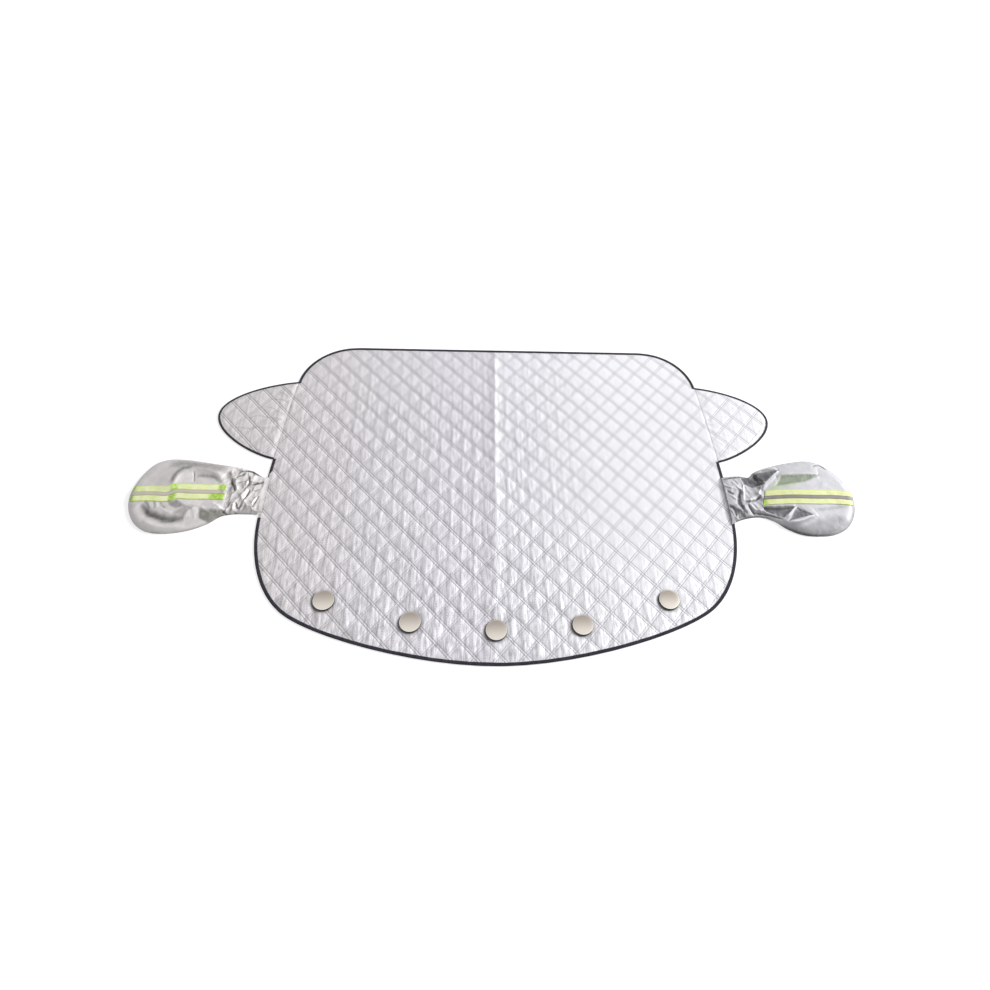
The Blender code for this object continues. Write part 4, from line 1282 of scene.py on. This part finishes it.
covers = {
    "left": {
        "edge": (
            (-0.700, 0.026), (-0.727, 0.025), (-0.746, 0.029), (-0.772, 0.047), (-0.806, 0.060),
            (-0.840, 0.068), (-0.892, 0.076), (-0.943, 0.085), (-0.998, 0.093), (-1.045, 0.092),
            (-1.078, 0.078), (-1.103, 0.045), (-1.122, -0.002), (-1.129, -0.040), (-1.124, -0.080),
            (-1.107, -0.120), (-1.082, -0.150), (-1.046, -0.170), (-1.002, -0.175), (-0.960, -0.171),
            (-0.918, -0.160), (-0.879, -0.141), (-0.842, -0.114), (-0.815, -0.108), (-0.775, -0.107),
            (-0.740, -0.109), (-0.700, -0.118),
        ),
        "height": 0.0130,
        "folds": (  # (plan points, height, width on the left of the path, width on its right)
            (((-1.004, -0.035), (-1.001, 0.000), (-0.986, 0.028), (-0.950, 0.044), (-0.905, 0.040),
              (-0.862, 0.020)), 0.0095, 0.040, 0.009),
            (((-1.088, -0.082), (-1.065, -0.103), (-1.035, -0.120), (-0.998, -0.131),
              (-0.948, -0.124)), -0.0100, 0.008, 0.014),
            (((-0.985, 0.060), (-0.930, 0.066), (-0.872, 0.060)), -0.0050, 0.008, 0.012),
            (((-1.064, -0.135), (-1.029, -0.155), (-0.990, -0.161), (-0.940, -0.155)), 0.0045, 0.012, 0.012),
        ),
        "strokes": (  # (plan points, width, tone): painted shade in grooves darker than 1, painted highlights on ridges lighter; both are also pressed into the height
            (((-1.040, 0.068), (-0.973, 0.067), (-0.911, 0.059), (-0.850, 0.045)), 0.0160, 0.52),
            (((-1.009, -0.013), (-1.008, 0.010), (-1.002, 0.032), (-0.986, 0.048), (-0.960, 0.056)), 0.0075, 0.36),
            (((-0.953, 0.038), (-0.944, -0.003)), 0.0020, 0.47),
            (((-0.945, 0.022), (-0.915, 0.023), (-0.883, 0.015), (-0.864, -0.005)), 0.0065, 0.47),
            (((-0.856, 0.041), (-0.841, 0.018), (-0.831, -0.008), (-0.839, -0.045)), 0.0080, 0.39),
            (((-1.088, -0.082), (-1.065, -0.103), (-1.035, -0.120), (-0.998, -0.131),
              (-0.948, -0.126)), 0.0110, 0.28),
            (((-1.078, -0.071), (-1.064, -0.082), (-1.056, -0.097)), 0.0040, 0.62),
            (((-1.048, -0.071), (-1.042, -0.084), (-1.043, -0.098)), 0.0026, 0.66),
            (((-1.028, -0.072), (-1.022, -0.085), (-1.008, -0.096)), 0.0034, 0.60),
            (((-1.059, -0.073), (-1.051, -0.092)), 0.0034, 1.16),
            (((-1.037, -0.071), (-1.031, -0.094)), 0.0036, 1.20),
            (((-1.029, -0.074), (-1.008, -0.102), (-0.975, -0.112)), 0.0036, 1.22),
            (((-1.070, -0.131), (-1.029, -0.153), (-0.990, -0.160), (-0.940, -0.153)), 0.0110, 1.10),
            (((-0.906, -0.088), (-0.888, -0.100), (-0.869, -0.111)), 0.0036, 1.35),
            (((-0.880, -0.072), (-0.858, -0.084), (-0.837, -0.099), (-0.819, -0.088)), 0.0045, 1.32),
            (((-1.112, -0.118), (-1.095, -0.143), (-1.056, -0.171), (-1.003, -0.178)), 0.0040, 0.21),
            (((-1.003, -0.179), (-0.948, -0.175), (-0.890, -0.152)), 0.0022, 0.39),
            (((-1.060, 0.096), (-1.000, 0.097), (-0.915, 0.084), (-0.840, 0.072)), 0.0030, 0.39),
            (((-0.826, 0.037), (-0.806, 0.047), (-0.785, 0.046), (-0.760, 0.034), (-0.741, 0.024)), 0.0028, 0.08),
            (((-0.827, 0.020), (-0.803, 0.034)), 0.0025, 0.17),
            (((-0.841, 0.014), (-0.830, -0.006), (-0.818, -0.030)), 0.0028, 0.18),
            (((-0.833, 0.012), (-0.822, -0.006), (-0.810, -0.024)), 0.0030, 1.25),
            (((-0.788, 0.028), (-0.782, 0.004), (-0.794, -0.028)), 0.0030, 0.21),
            (((-0.774, -0.009), (-0.758, -0.003), (-0.737, 0.004)), 0.0022, 0.11),
            (((-0.810, -0.070), (-0.800, -0.091), (-0.791, -0.077)), 0.0034, 0.18),
            (((-0.788, -0.067), (-0.781, -0.045), (-0.776, -0.022)), 0.0032, 0.21),
            (((-0.757, -0.085), (-0.751, -0.066), (-0.745, -0.046)), 0.0030, 0.26),
            (((-0.849, -0.097), (-0.829, -0.110), (-0.800, -0.111), (-0.758, -0.111)), 0.0026, 0.10),
        ),
        "patches": (  # (plan corners, softness, tone): facets with painted shade below 1 and painted highlights above 1
            (((-0.990, 0.006), (-0.956, 0.042), (-0.943, -0.003), (-0.987, -0.008)), 0.0030, 1.14),
            (((-0.885, 0.043), (-0.857, 0.029), (-0.853, -0.006), (-0.865, 0.003)), 0.0030, 1.18),
            (((-0.985, -0.063), (-0.900, -0.067), (-0.913, -0.085), (-0.957, -0.083)), 0.0030, 1.16),
            (((-1.006, -0.073), (-0.984, -0.067), (-0.957, -0.085), (-0.978, -0.096),
              (-1.000, -0.084)), 0.0060, 0.45),
            (((-0.957, -0.086), (-0.930, -0.090), (-0.950, -0.116), (-0.985, -0.112)), 0.0050, 0.61),
            (((-0.948, -0.092), (-0.936, -0.099), (-0.930, -0.124), (-0.942, -0.126)), 0.0020, 1.20),
            (((-0.932, -0.090), (-0.911, -0.092), (-0.914, -0.138)), 0.0020, 1.18),
            (((-0.912, -0.095), (-0.834, -0.099), (-0.847, -0.132), (-0.880, -0.140),
              (-0.905, -0.128)), 0.0060, 0.34),
            (((-0.804, -0.008), (-0.789, -0.026), (-0.783, 0.011), (-0.794, 0.032), (-0.809, 0.018)), 0.0025, 1.12),
            (((-0.771, -0.012), (-0.732, -0.004), (-0.733, -0.052), (-0.757, -0.070)), 0.0035, 1.10),
        ),
        "tape": (
            (-1.119, -0.0430), (-1.060, -0.0425), (-1.003, -0.0425), (-0.994, -0.0380), (-0.940, -0.0370),
            (-0.846, -0.0350),
        ),
        # where the cloth shows a painted reflection of the tape, and how strongly
        "mirrorsTape": ((-0.912, -0.095), (-0.834, -0.099), (-0.847, -0.132), (-0.905, -0.128)),
        "mirrorShare": 0.35,
        "tapeSkew": (0.0, 0.0),  # how far the upper corners of its two ends stand further right than square
        "crumple": 0.0080,
        "facet": (0.027, 0.040),
        "shadow": 0.30,
        "panelShade": 1.12,
        "strip": 0.011,      # the smooth cloth between the gathers and the panel
        "neckTone": 1.10,
        "creaseShade": 0.72,
    },
    "right": {
        "edge": (
            (0.700, 0.034), (0.724, 0.0325), (0.738, 0.038), (0.756, 0.041), (0.800, 0.041), (0.814, 0.037),
            (0.836, 0.056), (0.893, 0.079), (0.960, 0.096), (1.033, 0.103), (1.075, 0.089), (1.112, 0.054),
            (1.142, 0.002), (1.152, -0.035), (1.149, -0.075), (1.131, -0.122), (1.102, -0.157),
            (1.056, -0.180), (1.005, -0.186), (0.946, -0.180), (0.902, -0.158), (0.868, -0.131),
            (0.831, -0.117), (0.776, -0.122), (0.744, -0.134), (0.724, -0.146), (0.700, -0.155),
        ),
        "height": 0.0150,
        "folds": (
            (((0.812, 0.030), (0.850, 0.056), (0.912, 0.062)), 0.0060, 0.020, 0.004),
            (((0.916, 0.058), (0.892, 0.030), (0.864, 0.004), (0.846, -0.020)), 0.0070, 0.004, 0.018),
            (((0.905, 0.034), (0.970, 0.044), (1.050, 0.040)), 0.0055, 0.022, 0.016),
            (((0.835, -0.084), (0.885, -0.090), (0.945, -0.084)), 0.0060, 0.006, 0.004),
            (((0.945, -0.084), (0.926, -0.101), (0.905, -0.125)), 0.0030, 0.010, 0.006),
            (((0.893, -0.146), (0.935, -0.143), (0.967, -0.132), (0.995, -0.120),
              (1.008, -0.114)), 0.0075, 0.014, 0.006),
        ),
        "strokes": (
            (((1.036, 0.074), (1.062, 0.081), (1.084, 0.060)), 0.0024, 0.26),
            (((1.040, 0.066), (1.060, 0.073)), 0.0040, 1.10),
            (((0.806, -0.092), (0.844, -0.101), (0.899, -0.119)), 0.0042, 1.42),
            (((0.800, -0.104), (0.850, -0.113), (0.893, -0.130)), 0.0030, 0.18),
            (((0.900, -0.144), (0.935, -0.141), (0.965, -0.131), (0.993, -0.119)), 0.0036, 1.30),
            (((0.905, -0.125), (0.926, -0.101), (0.942, -0.084)), 0.0020, 1.12),
            (((0.996, -0.098), (1.055, -0.090), (1.121, -0.078)), 0.0060, 0.74),
            (((0.732, -0.139), (0.753, -0.129), (0.824, -0.120), (0.862, -0.135), (0.919, -0.168),
              (0.979, -0.185), (1.040, -0.183)), 0.0038, 0.12),
            (((0.795, 0.026), (0.788, -0.010), (0.779, -0.064)), 0.0034, 1.40),
            (((0.777, -0.014), (0.763, -0.057), (0.780, -0.109)), 0.0060, 0.13),
            (((0.724, -0.076), (0.742, -0.087), (0.745, -0.121)), 0.0050, 0.18),
            (((0.716, 0.022), (0.716, -0.072), (0.724, -0.139)), 0.0045, 0.12),
            (((0.719, 0.007), (0.735, -0.004), (0.753, -0.010)), 0.0038, 1.38),
            (((0.752, 0.020), (0.768, -0.002), (0.778, -0.020)), 0.0034, 1.30),
            (((0.780, -0.058), (0.814, -0.050), (0.838, -0.026), (0.846, 0.002)), 0.0032, 1.38),
            (((0.782, -0.065), (0.816, -0.059), (0.840, -0.040)), 0.0030, 0.21),
            (((0.728, -0.090), (0.738, -0.104), (0.746, -0.124)), 0.0034, 1.35),
            (((0.735, -0.034), (0.750, -0.046), (0.762, -0.060)), 0.0036, 1.25),
            (((0.730, -0.020), (0.752, -0.034)), 0.0040, 0.36),
            (((0.719, 0.021), (0.756, 0.032), (0.795, 0.034)), 0.0026, 0.21),
            (((0.790, -0.072), (0.800, -0.096), (0.808, -0.112)), 0.0034, 0.21),
            (((0.800, -0.074), (0.814, -0.096)), 0.0034, 1.30),
            (((0.948, -0.078), (0.991, -0.117), (1.010, -0.127)), 0.0030, 0.80),
            (((1.104, 0.066), (1.128, 0.030), (1.145, -0.006), (1.152, -0.040), (1.147, -0.080),
              (1.130, -0.120), (1.100, -0.156)), 0.0070, 0.46),
            (((1.140, -0.066), (1.136, -0.084), (1.132, -0.100)), 0.0050, 0.70),
        ),
        "patches": (
            (((0.831, 0.043), (0.917, 0.058), (0.885, 0.032), (0.863, 0.010), (0.830, 0.018)), 0.0030, 0.20),
            (((0.895, -0.004), (0.920, 0.032), (1.051, 0.039), (0.997, 0.013)), 0.0050, 0.49),
            (((0.834, -0.083), (0.944, -0.083), (0.896, -0.124), (0.844, -0.102)), 0.0025, 0.22),
            (((0.948, -0.087), (0.989, -0.116), (0.907, -0.139)), 0.0025, 0.22),
            (((0.874, -0.143), (0.910, -0.152), (0.957, -0.150), (1.000, -0.132), (1.080, -0.120),
              (1.110, -0.150), (1.040, -0.190), (0.951, -0.185), (0.900, -0.165)), 0.0140, 0.61),
            (((0.787, 0.031), (0.834, 0.041), (0.859, 0.018), (0.856, 0.000), (0.817, -0.008),
              (0.790, 0.007)), 0.0040, 0.18),
            (((0.750, -0.090), (0.772, -0.098), (0.776, -0.120), (0.752, -0.124)), 0.0040, 0.31),
        ),
        "mirrorsTape": ((0.865, -0.020), (0.920, 0.034), (1.051, 0.041), (0.997, 0.011), (0.900, -0.020)),
        "mirrorShare": 0.85,
        "tapeSkew": (0.020, 0.007),
        "tape": ((0.848, -0.0500), (0.930, -0.0480), (1.020, -0.0490), (1.080, -0.0480), (1.143, -0.0520)),
        "crumple": 0.0052,
        "facet": (0.036, 0.046),
        "shadow": 0.30,
        "panelShade": 0.75,
        "strip": 0.020,
        "neckTone": 0.98,
        "creaseShade": 0.30,
    },
}
cover = {
    "joinX": 0.842,          # where the neck is sewn to the pouch
    "joinGap": 0.0002,
    "rim": 0.0014,
    "neckHeight": 0.0095,
    "edgeRound": 0.030,
    "dome": 0.004,
    "onPanel": 0.0062,       # the neck's top where it lies on the panel
    "cloth": 0.0007,
    "step": 0.0017,
    "neckStep": 0.0013,
    "neckUnder": 0.0004,
    "neckFlat": (0.13, 0.19),
    "mapStep": 0.0013,
    "groove": 0.0050,        # how deep a stroke of tone 0 would be pressed in
    "overPanel": 0.0090,     # how far the neck's gathers lie over the panel's edge
}


def coverEdge(side):
    return smoothLine(covers[side]["edge"], 0.004, True)


def coverTone(x, y, side):
    # The painted shade of the named grooves and dark facets, and the painted highlights of the ridges and light
    # facets
    tone = np.ones(x.shape)
    for path, width, value in covers[side]["strokes"]:
        line = smoothLine(path, 0.004, False)
        middle, reach = (line.max(axis=0) + line.min(axis=0)) / 2, np.ptp(line, axis=0) / 2 + 3 * width
        close = (np.abs(x - middle[0]) < reach[0]) & (np.abs(y - middle[1]) < reach[1])
        d, share = lineDistance(x[close], y[close], line)
        d = d + 0.25 * width * softNoise(x[close] / 0.010, y[close] / 0.010, 73)
        uneven = 1.0 - 0.25 * np.abs(softNoise(x[close] / 0.009, y[close] / 0.012, 72))
        tone[close] *= 1 + (value - 1) * bell(d, width) * faded(share, 6, 0.7) * uneven
    for corners, soft, value in covers[side]["patches"]:
        d = exactDistance(x, y, np.array(corners)) + 0.0012 * softNoise(x / 0.008, y / 0.008, 71)
        uneven = 1.0 - 0.25 * np.abs(softNoise(x / 0.013, y / 0.016, 74))
        tone *= 1 + (value - 1) * smoothStep(d, -soft, soft) * uneven
    return tone


def mapCover(side):
    # The top of neck and pouch over the floor and the cloth's painted light and shade, on a fine square grid
    facts, sign, edge, step = covers[side], sides[side], coverEdge(side), cover["mapStep"]
    start = edge.min(axis=0) - 4 * step
    count = np.ceil((edge.max(axis=0) - start) / step).astype(int) + 5
    x, y = np.meshgrid(start[0] + step * np.arange(count[0]), start[1] + step * np.arange(count[1]), indexing="ij")
    depth = np.maximum(edgeDistance(x, y, edge), 0)
    toPanel = -edgeDistance(x, y, panelEdge)
    out = np.abs(x)
    tone = coverTone(x, y, side)
    swell = np.sqrt(1 - (1 - np.clip(depth / cover["edgeRound"], 0, 1)) ** 2)
    pouch = smoothStep(out, 0.80, 0.90)
    z = cover["rim"] + (cover["neckHeight"] + (facts["height"] - cover["neckHeight"]) * pouch) * swell
    z = z + cover["dome"] * pouch * swell * np.exp(-(((out - 0.98) / 0.09) ** 2) - ((y + 0.03) / 0.08) ** 2)
    for path, height, left, right in facts["folds"]:
        d, share = lineDistance(x, y, smoothLine(path, 0.006, False))
        wide = np.where(d > 0, left, right)
        z = z + height * np.exp(-np.abs(d / wide) ** 1.5) * faded(share, 5, 0.6) * np.clip(depth / 0.012, 0, 1)
    z = z + cover["groove"] * (tone - 1) * np.clip(depth / 0.008, 0, 1)
    crumpled = (1 - smoothStep(out, 0.830, 0.880)) * smoothStep(toPanel, 0.0, facts["strip"])
    u, v = (x + 0.35 * sign * y) / facts["facet"][0], (y - 0.25 * sign * x) / facts["facet"][1]
    warpX = 0.30 * softNoise(x / 0.03, y / 0.03, 61)
    warpY = 0.30 * softNoise(x / 0.03, y / 0.03, 62)
    large, crease = crumple(u + warpX, v + warpY, 63)
    small, smallCrease = crumple(2.1 * u + warpY, 1.7 * v + warpX, 64)
    z = z + facts["crumple"] * (large + 0.35 * small - 0.25) * crumpled * np.clip(depth / 0.014, 0, 1)
    z = z + 0.0006 * pouch * softNoise(x / 0.022, y / 0.03, 65) * np.clip(depth / 0.02, 0, 1)
    onPanel = cover["onPanel"] + 0.0012 * np.clip(depth / 0.01, 0, 1)
    z = np.where(toPanel < 0.012, np.maximum(z, onPanel * smoothStep(-toPanel, -0.012, -0.002)), z)
    z = np.maximum(z, cover["rim"])
    # Painted shade where the cloth faces away from the lamp, painted highlights where the neck faces it
    away = 0.78 * (np.gradient(z, step, axis=0) + 0.8 * np.gradient(z, step, axis=1))
    neck = 1 - smoothStep(out, 0.84, 0.88)
    shade = 1.0 - (0.10 + facts["shadow"] * neck) * smoothStep(away, 0.02, 0.35)
    shade = shade * (1 + 0.10 * neck * smoothStep(-away, 0.05, 0.4))
    # Painted shade along the crumple's creases, the neck's tone, and beside the panel a painted highlight on the
    # left and a painted shadow on the right
    lines = bell(crease, 0.05) * smoothStep(softNoise(x / 0.02, y / 0.02, 66), -0.5, 0.3)
    fine = 0.7 * bell(smallCrease, 0.06) * smoothStep(softNoise(x / 0.02, y / 0.02, 67), 0.0, 0.5)
    lines = np.maximum(lines, fine)
    shade = shade * (1 - facts["creaseShade"] * lines * crumpled) * (1 + (facts["neckTone"] - 1) * neck)
    shade = shade * (1 + (facts["panelShade"] - 1) * (1 - smoothStep(toPanel, 0.004, facts["strip"])))
    # Painted shade on the neck's border where it lies over the panel's edge
    border = smoothStep(-toPanel, cover["overPanel"] - 0.0018, cover["overPanel"] - 0.0002)
    return {"start": start, "step": step, "height": z, "shade": shade * tone * (1 - 0.5 * border), "edge": edge}


def fromMap(found, key, x, y):
    # The map's value between its grid points
    table = found[key]
    u = np.clip((x - found["start"][0]) / found["step"], 0, table.shape[0] - 1.001)
    v = np.clip((y - found["start"][1]) / found["step"], 0, table.shape[1] - 1.001)
    i, j = u.astype(int), v.astype(int)
    a, b = u - i, v - j
    near = (1 - b) * table[i, j] + b * table[i, j + 1]
    far = (1 - b) * table[i + 1, j] + b * table[i + 1, j + 1]
    return (1 - a) * near + a * far


def cutCover(found, name, step):
    # The plan, faces, height and shade of the neck or the front, cut from the cover's map
    edge = found["edge"]
    low, high = edge.min(axis=0), edge.max(axis=0)

    def inside(x, y):
        depth = edgeDistance(x, y, edge)
        if name == "neck":
            toJoin = np.minimum(depth, cover["joinX"] - np.abs(x))
            return np.minimum(toJoin, cover["overPanel"] - edgeDistance(x, y, panelEdge))
        return np.minimum(depth, np.abs(x) - cover["joinX"] - cover["joinGap"])

    columns = np.arange(low[0] - step, high[0] + 2 * step, step)
    if name == "neck":
        columns = columns[np.abs(columns) < cover["joinX"] + 2 * step]
    else:
        columns = columns[np.abs(columns) > cover["joinX"] - 2 * step]
    rows = np.arange(low[1] - step, high[1] + 2 * step, step)
    plan, faces = cutGrid(columns, rows, lambda u, v: (u, v), inside)
    return plan, faces, fromMap(found, "height", *plan.T), fromMap(found, "shade", *plan.T), inside


def makeNeck(side, silver, found):
    plan, faces, z, shade, inside = cutCover(found, "neck", cover["neckStep"])

    def under(p):
        over = edgeDistance(p[:, 0], p[:, 1], panelEdge)
        return cover["neckUnder"] + 0.0052 * smoothStep(over, -0.010, -0.001)

    points, faces = closedCloth(plan, faces, z, under, neckBackPoints(inside, found["edge"]))
    piece = meshPiece("gathered_neck_" + side, points, faces, silver)
    paint(piece, "paintedLight", np.concatenate([shade, np.full(len(points) - len(plan), 0.9)]))
    finishPiece(piece, "silver_cloth", "mirror_cover_neck_" + side)


def makeFront(side, silver, found):
    plan, faces, z, shade, _ = cutCover(found, "front", cover["step"])
    piece = meshPiece("pouch_front_" + side, np.column_stack([plan, z]), faces, silver)
    paint(piece, "paintedLight", shade)
    patch = exactDistance(plan[:, 0], plan[:, 1], np.array(covers[side]["mirrorsTape"]))
    paint(piece, "tapeReflection", covers[side]["mirrorShare"] * smoothStep(patch, -0.006, 0.008))
    thicken(piece, cover["cloth"], -1)
    finishPiece(piece, "silver_cloth", "mirror_cover_front_" + side)


def neckBackPoints(inside, edge):
    # Places that keep the neck's underside clear of the panel's edge
    low, high = edge.min(axis=0), edge.max(axis=0)
    x, y = np.meshgrid(np.arange(low[0], high[0], 0.004), np.arange(low[1], high[1], 0.010))
    x, y = x.ravel(), y.ravel()
    near = (np.abs(edgeDistance(x, y, panelEdge) + 0.004) < 0.012) & (inside(x, y) > 0.002)
    return np.column_stack([x[near], y[near]])


# The backs of the pouches, with their elastic mouths

mouth = {
    "gathers": 34,
    "reach": 0.030,          # how far the gathers run out from the hem
    "rings": 26,
    "turns": 240,
    "cloth": 0.0004,
    "level": 0.0005,
    "hem": 0.0017,
    "hemTurns": 360,
    "hemSides": 10,
    "fromSolid": 0.0033,     # from the elastic's outside to the cloth's edge
}


def mouthFacts(side):
    low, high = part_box("mouth_elastic_" + side)
    centre = (low + high) / 2
    a, b = ((high[k] - low[k]) / 2 - mouth["fromSolid"] for k in (0, 1))
    return centre.x, centre.y, a, b


def makeBack(side, sign, silver, dark):
    cx, cy, a, b = mouthFacts(side)
    edge = coverEdge(side)
    rings, turns = mouth["rings"], mouth["turns"]
    points, faces, shade = [], [], []
    for k in range(turns):
        angle = 2 * math.pi * k / turns
        c, s = math.cos(angle), math.sin(angle)
        ray = np.linspace(0.02, 0.30, 400)
        along = edgeDistance(cx + ray * c, cy + ray * s, edge)
        stop = ray[np.argmax(along < 0)] - 0.0006
        limit = abs(cover["joinX"] - abs(cx))
        if c * sign < 0:
            stop = min(stop, limit / max(abs(c), 1e-6) - 0.0005)
        start = 1 / math.hypot(c / a, s / b)
        for r in range(rings):
            t = r / (rings - 1)
            distance = start + (stop - start) * t**1.5
            near = math.exp(-(distance - start) / mouth["reach"] * 1.6)
            ripple = math.cos(angle * mouth["gathers"] + 2.0 * math.sin(angle * 5))
            z = mouth["level"] + 0.00035 * near * (1 + ripple)
            points.append((cx + distance * c, cy + distance * s, z))
            # Painted shade in the gathers' hollows near the hem
            shade.append(0.92 - 0.12 * near * (0.5 - 0.5 * ripple))
    for k in range(turns):
        for r in range(rings - 1):
            p, q = k * rings + r, ((k + 1) % turns) * rings + r
            faces.append([p, p + 1, q + 1, q])
    piece = meshPiece("pouch_back_" + side, points, faces, silver)
    paint(piece, "paintedLight", shade)
    thicken(piece, mouth["cloth"], -1)
    finishPiece(piece, "silver_cloth", "mirror_cover_back_" + side)
    makeHem(side, cx, cy, a, b, dark)


def makeHem(side, cx, cy, a, b, dark):
    hem, hemFaces, around, ring = [], [], mouth["hemTurns"], mouth["hemSides"]
    for k in range(around):
        angle = 2 * math.pi * k / around
        c, s = math.cos(angle), math.sin(angle)
        thick = mouth["hem"] * (0.9 + 0.1 * math.cos(angle * mouth["gathers"] * 2))
        level = 0.0013 + mouth["hem"] + 0.0004 * math.sin(angle * mouth["gathers"])
        for r in range(ring):
            turn = 2 * math.pi * r / ring
            grow = 0.0018 + thick * math.cos(turn)
            hem.append((cx + (a + grow) * c, cy + (b + grow) * s, level + thick * math.sin(turn)))
    for k in range(around):
        for r in range(ring):
            p, q = k * ring, ((k + 1) % around) * ring
            hemFaces.append([p + r, q + r, q + (r + 1) % ring, p + (r + 1) % ring])
    elastic = meshPiece("mouth_hem_" + side, hem, hemFaces, dark)
    unwrap(elastic, [(k / around * 0.42, r * 0.001) for k in range(around) for r in range(ring)])
    finishPiece(elastic, "elastic", "mouth_elastic_" + side)


def makeTapes(side, yellow, grey, found):
    path, skews = smoothLine(covers[side]["tape"], hiVis["step"], False), covers[side]["tapeSkew"]
    ahead, run = heading(path), runAlong(path)
    normal = np.column_stack([-ahead[:, 1], ahead[:, 0]])
    skew = np.interp(np.linspace(0, 1, len(path)), (0, 0.5, 1), (skews[0], 0, skews[1]))
    for name, node, slot, width, lift, material in (
        ("yellow_band_", "hi_vis_tape_", "hi_vis_yellow", hiVis["width"], hiVis["lift"], yellow),
        ("grey_band_", "reflective_stripe_", "reflective_grey", hiVis["stripe"], hiVis["stripeLift"], grey),
    ):
        count = max(9, int(width / hiVis["grain"]))
        offsets = np.linspace(-0.5, 0.5, count) * width
        place = path[:, None, :] + normal[:, None, :] * offsets[None, :, None]
        place = place + ahead[:, None, :] * (skew[:, None] * offsets[None, :] / hiVis["width"])[:, :, None]
        x, y = place[..., 0], place[..., 1]
        z = np.zeros(x.shape)
        reach = hiVis["bridge"]
        for dx, dy in ((0, 0), (reach, 0), (-reach, 0), (0, reach), (0, -reach)):
            z = np.maximum(z, fromMap(found, "height", x + dx, y + dy) - 0.35 * math.hypot(dx, dy))
        z = z + lift
        points = np.column_stack([x.ravel(), y.ravel(), z.ravel()])
        faces = []
        for i in range(len(path) - 1):
            for k in range(count - 1):
                a = i * count + k
                faces.append([a, a + count, a + count + 1, a + 1])
        piece = meshPiece(name + side, points, faces, material)
        unwrap(piece, np.column_stack([np.repeat(run, count), np.tile(offsets, len(path))]))
        thicken(piece, hiVis["thickness"], 1)
        finishPiece(piece, slot, node + side)
    print("tapes", side)


# The magnets

magnetForm = {"edge": 0.0009, "sides": 96}


def makeMagnet(name, nickel):
    low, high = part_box(name)
    centre, radius = (low + high) / 2, panel["magnetRadius"]
    e, z0, z1 = magnetForm["edge"], low.z, high.z
    profile = [(radius - e, z0), (radius, z0 + e), (radius, z1 - e)]
    for k in range(1, 5):
        angle = math.pi / 2 * k / 4
        profile.append((radius - e + e * math.cos(angle), z1 - e + e * math.sin(angle)))
    profile += [(radius * 0.6, z1), (radius * 0.25, z1)]
    turns = magnetForm["sides"]
    points = [(centre.x, centre.y, z0)]
    for r, z in profile:
        angles = [2 * math.pi * k / turns for k in range(turns)]
        points += [(centre.x + r * math.cos(angle), centre.y + r * math.sin(angle), z) for angle in angles]
    points.append((centre.x, centre.y, z1))
    faces, last = [], len(points) - 1
    for k in range(turns):
        a, b = 1 + k, 1 + (k + 1) % turns
        faces.append([0, b, a])
        for _ in profile[1:]:
            faces.append([a, b, b + turns, a + turns])
            a, b = a + turns, b + turns
        faces.append([a, b, last])
    piece = meshPiece(name + "_disc", points, faces, nickel)
    piece.data.set_sharp_from_angle(angle=math.radians(40))
    unwrap(piece, [((v.co.x - centre.x) / radius, (v.co.y - centre.y) / radius) for v in piece.data.vertices])
    finishPiece(piece, "nickel", name)


# Everything together

bpy.context.scene.view_settings.view_transform = "Standard"
addCamera()
addWorld()
addLamp("key lamp", lights["key"])
addLamp("fill lamp", lights["fill"])
addFloor()
foil = foilMaterial()
silver = {side: coverMaterial(side) for side in sides}
tape = bindingMaterial()
makePanel(foil)
flapEdge = {side: makeFlap(side, sign, foil) for side, sign in sides.items()}
tree = stitchTree()
greyThread = threadMaterial("grey_thread", (0.42, 0.42, 0.46))
darkThread = threadMaterial("dark_thread", (0.05, 0.05, 0.07))


def panelTopAt(x, y):
    return panelTop(x, y, np.maximum(edgeDistance(x, y, panelEdge), 0))


lines = quiltLines(lambda x, y: edgeDistance(x, y, panelEdge), panelTopAt, *reachOf(panelEdge))
quiltThread = sewLines("quilting_thread", lines, tree, greyThread, stitch)
finishPiece(quiltThread, "quilted_foil")
print("quilting thread", len(quiltThread.data.polygons), "faces")
makeBindings(flapEdge, tape, tree, darkThread)
yellow, grey, nickel = hiVisMaterial(), stripeMaterial(), nickelMaterial()
for side, sign in sides.items():
    found = mapCover(side)
    makeNeck(side, silver[side], found)
    makeFront(side, silver[side], found)
    makeBack(side, sign, silver[side], tape)
    print("mirror cover", side)
    makeTapes(side, yellow, grey, found)
for name in magnets:
    makeMagnet(name, nickel)
print("magnets", len(magnets))

bpy.context.view_layer.update()
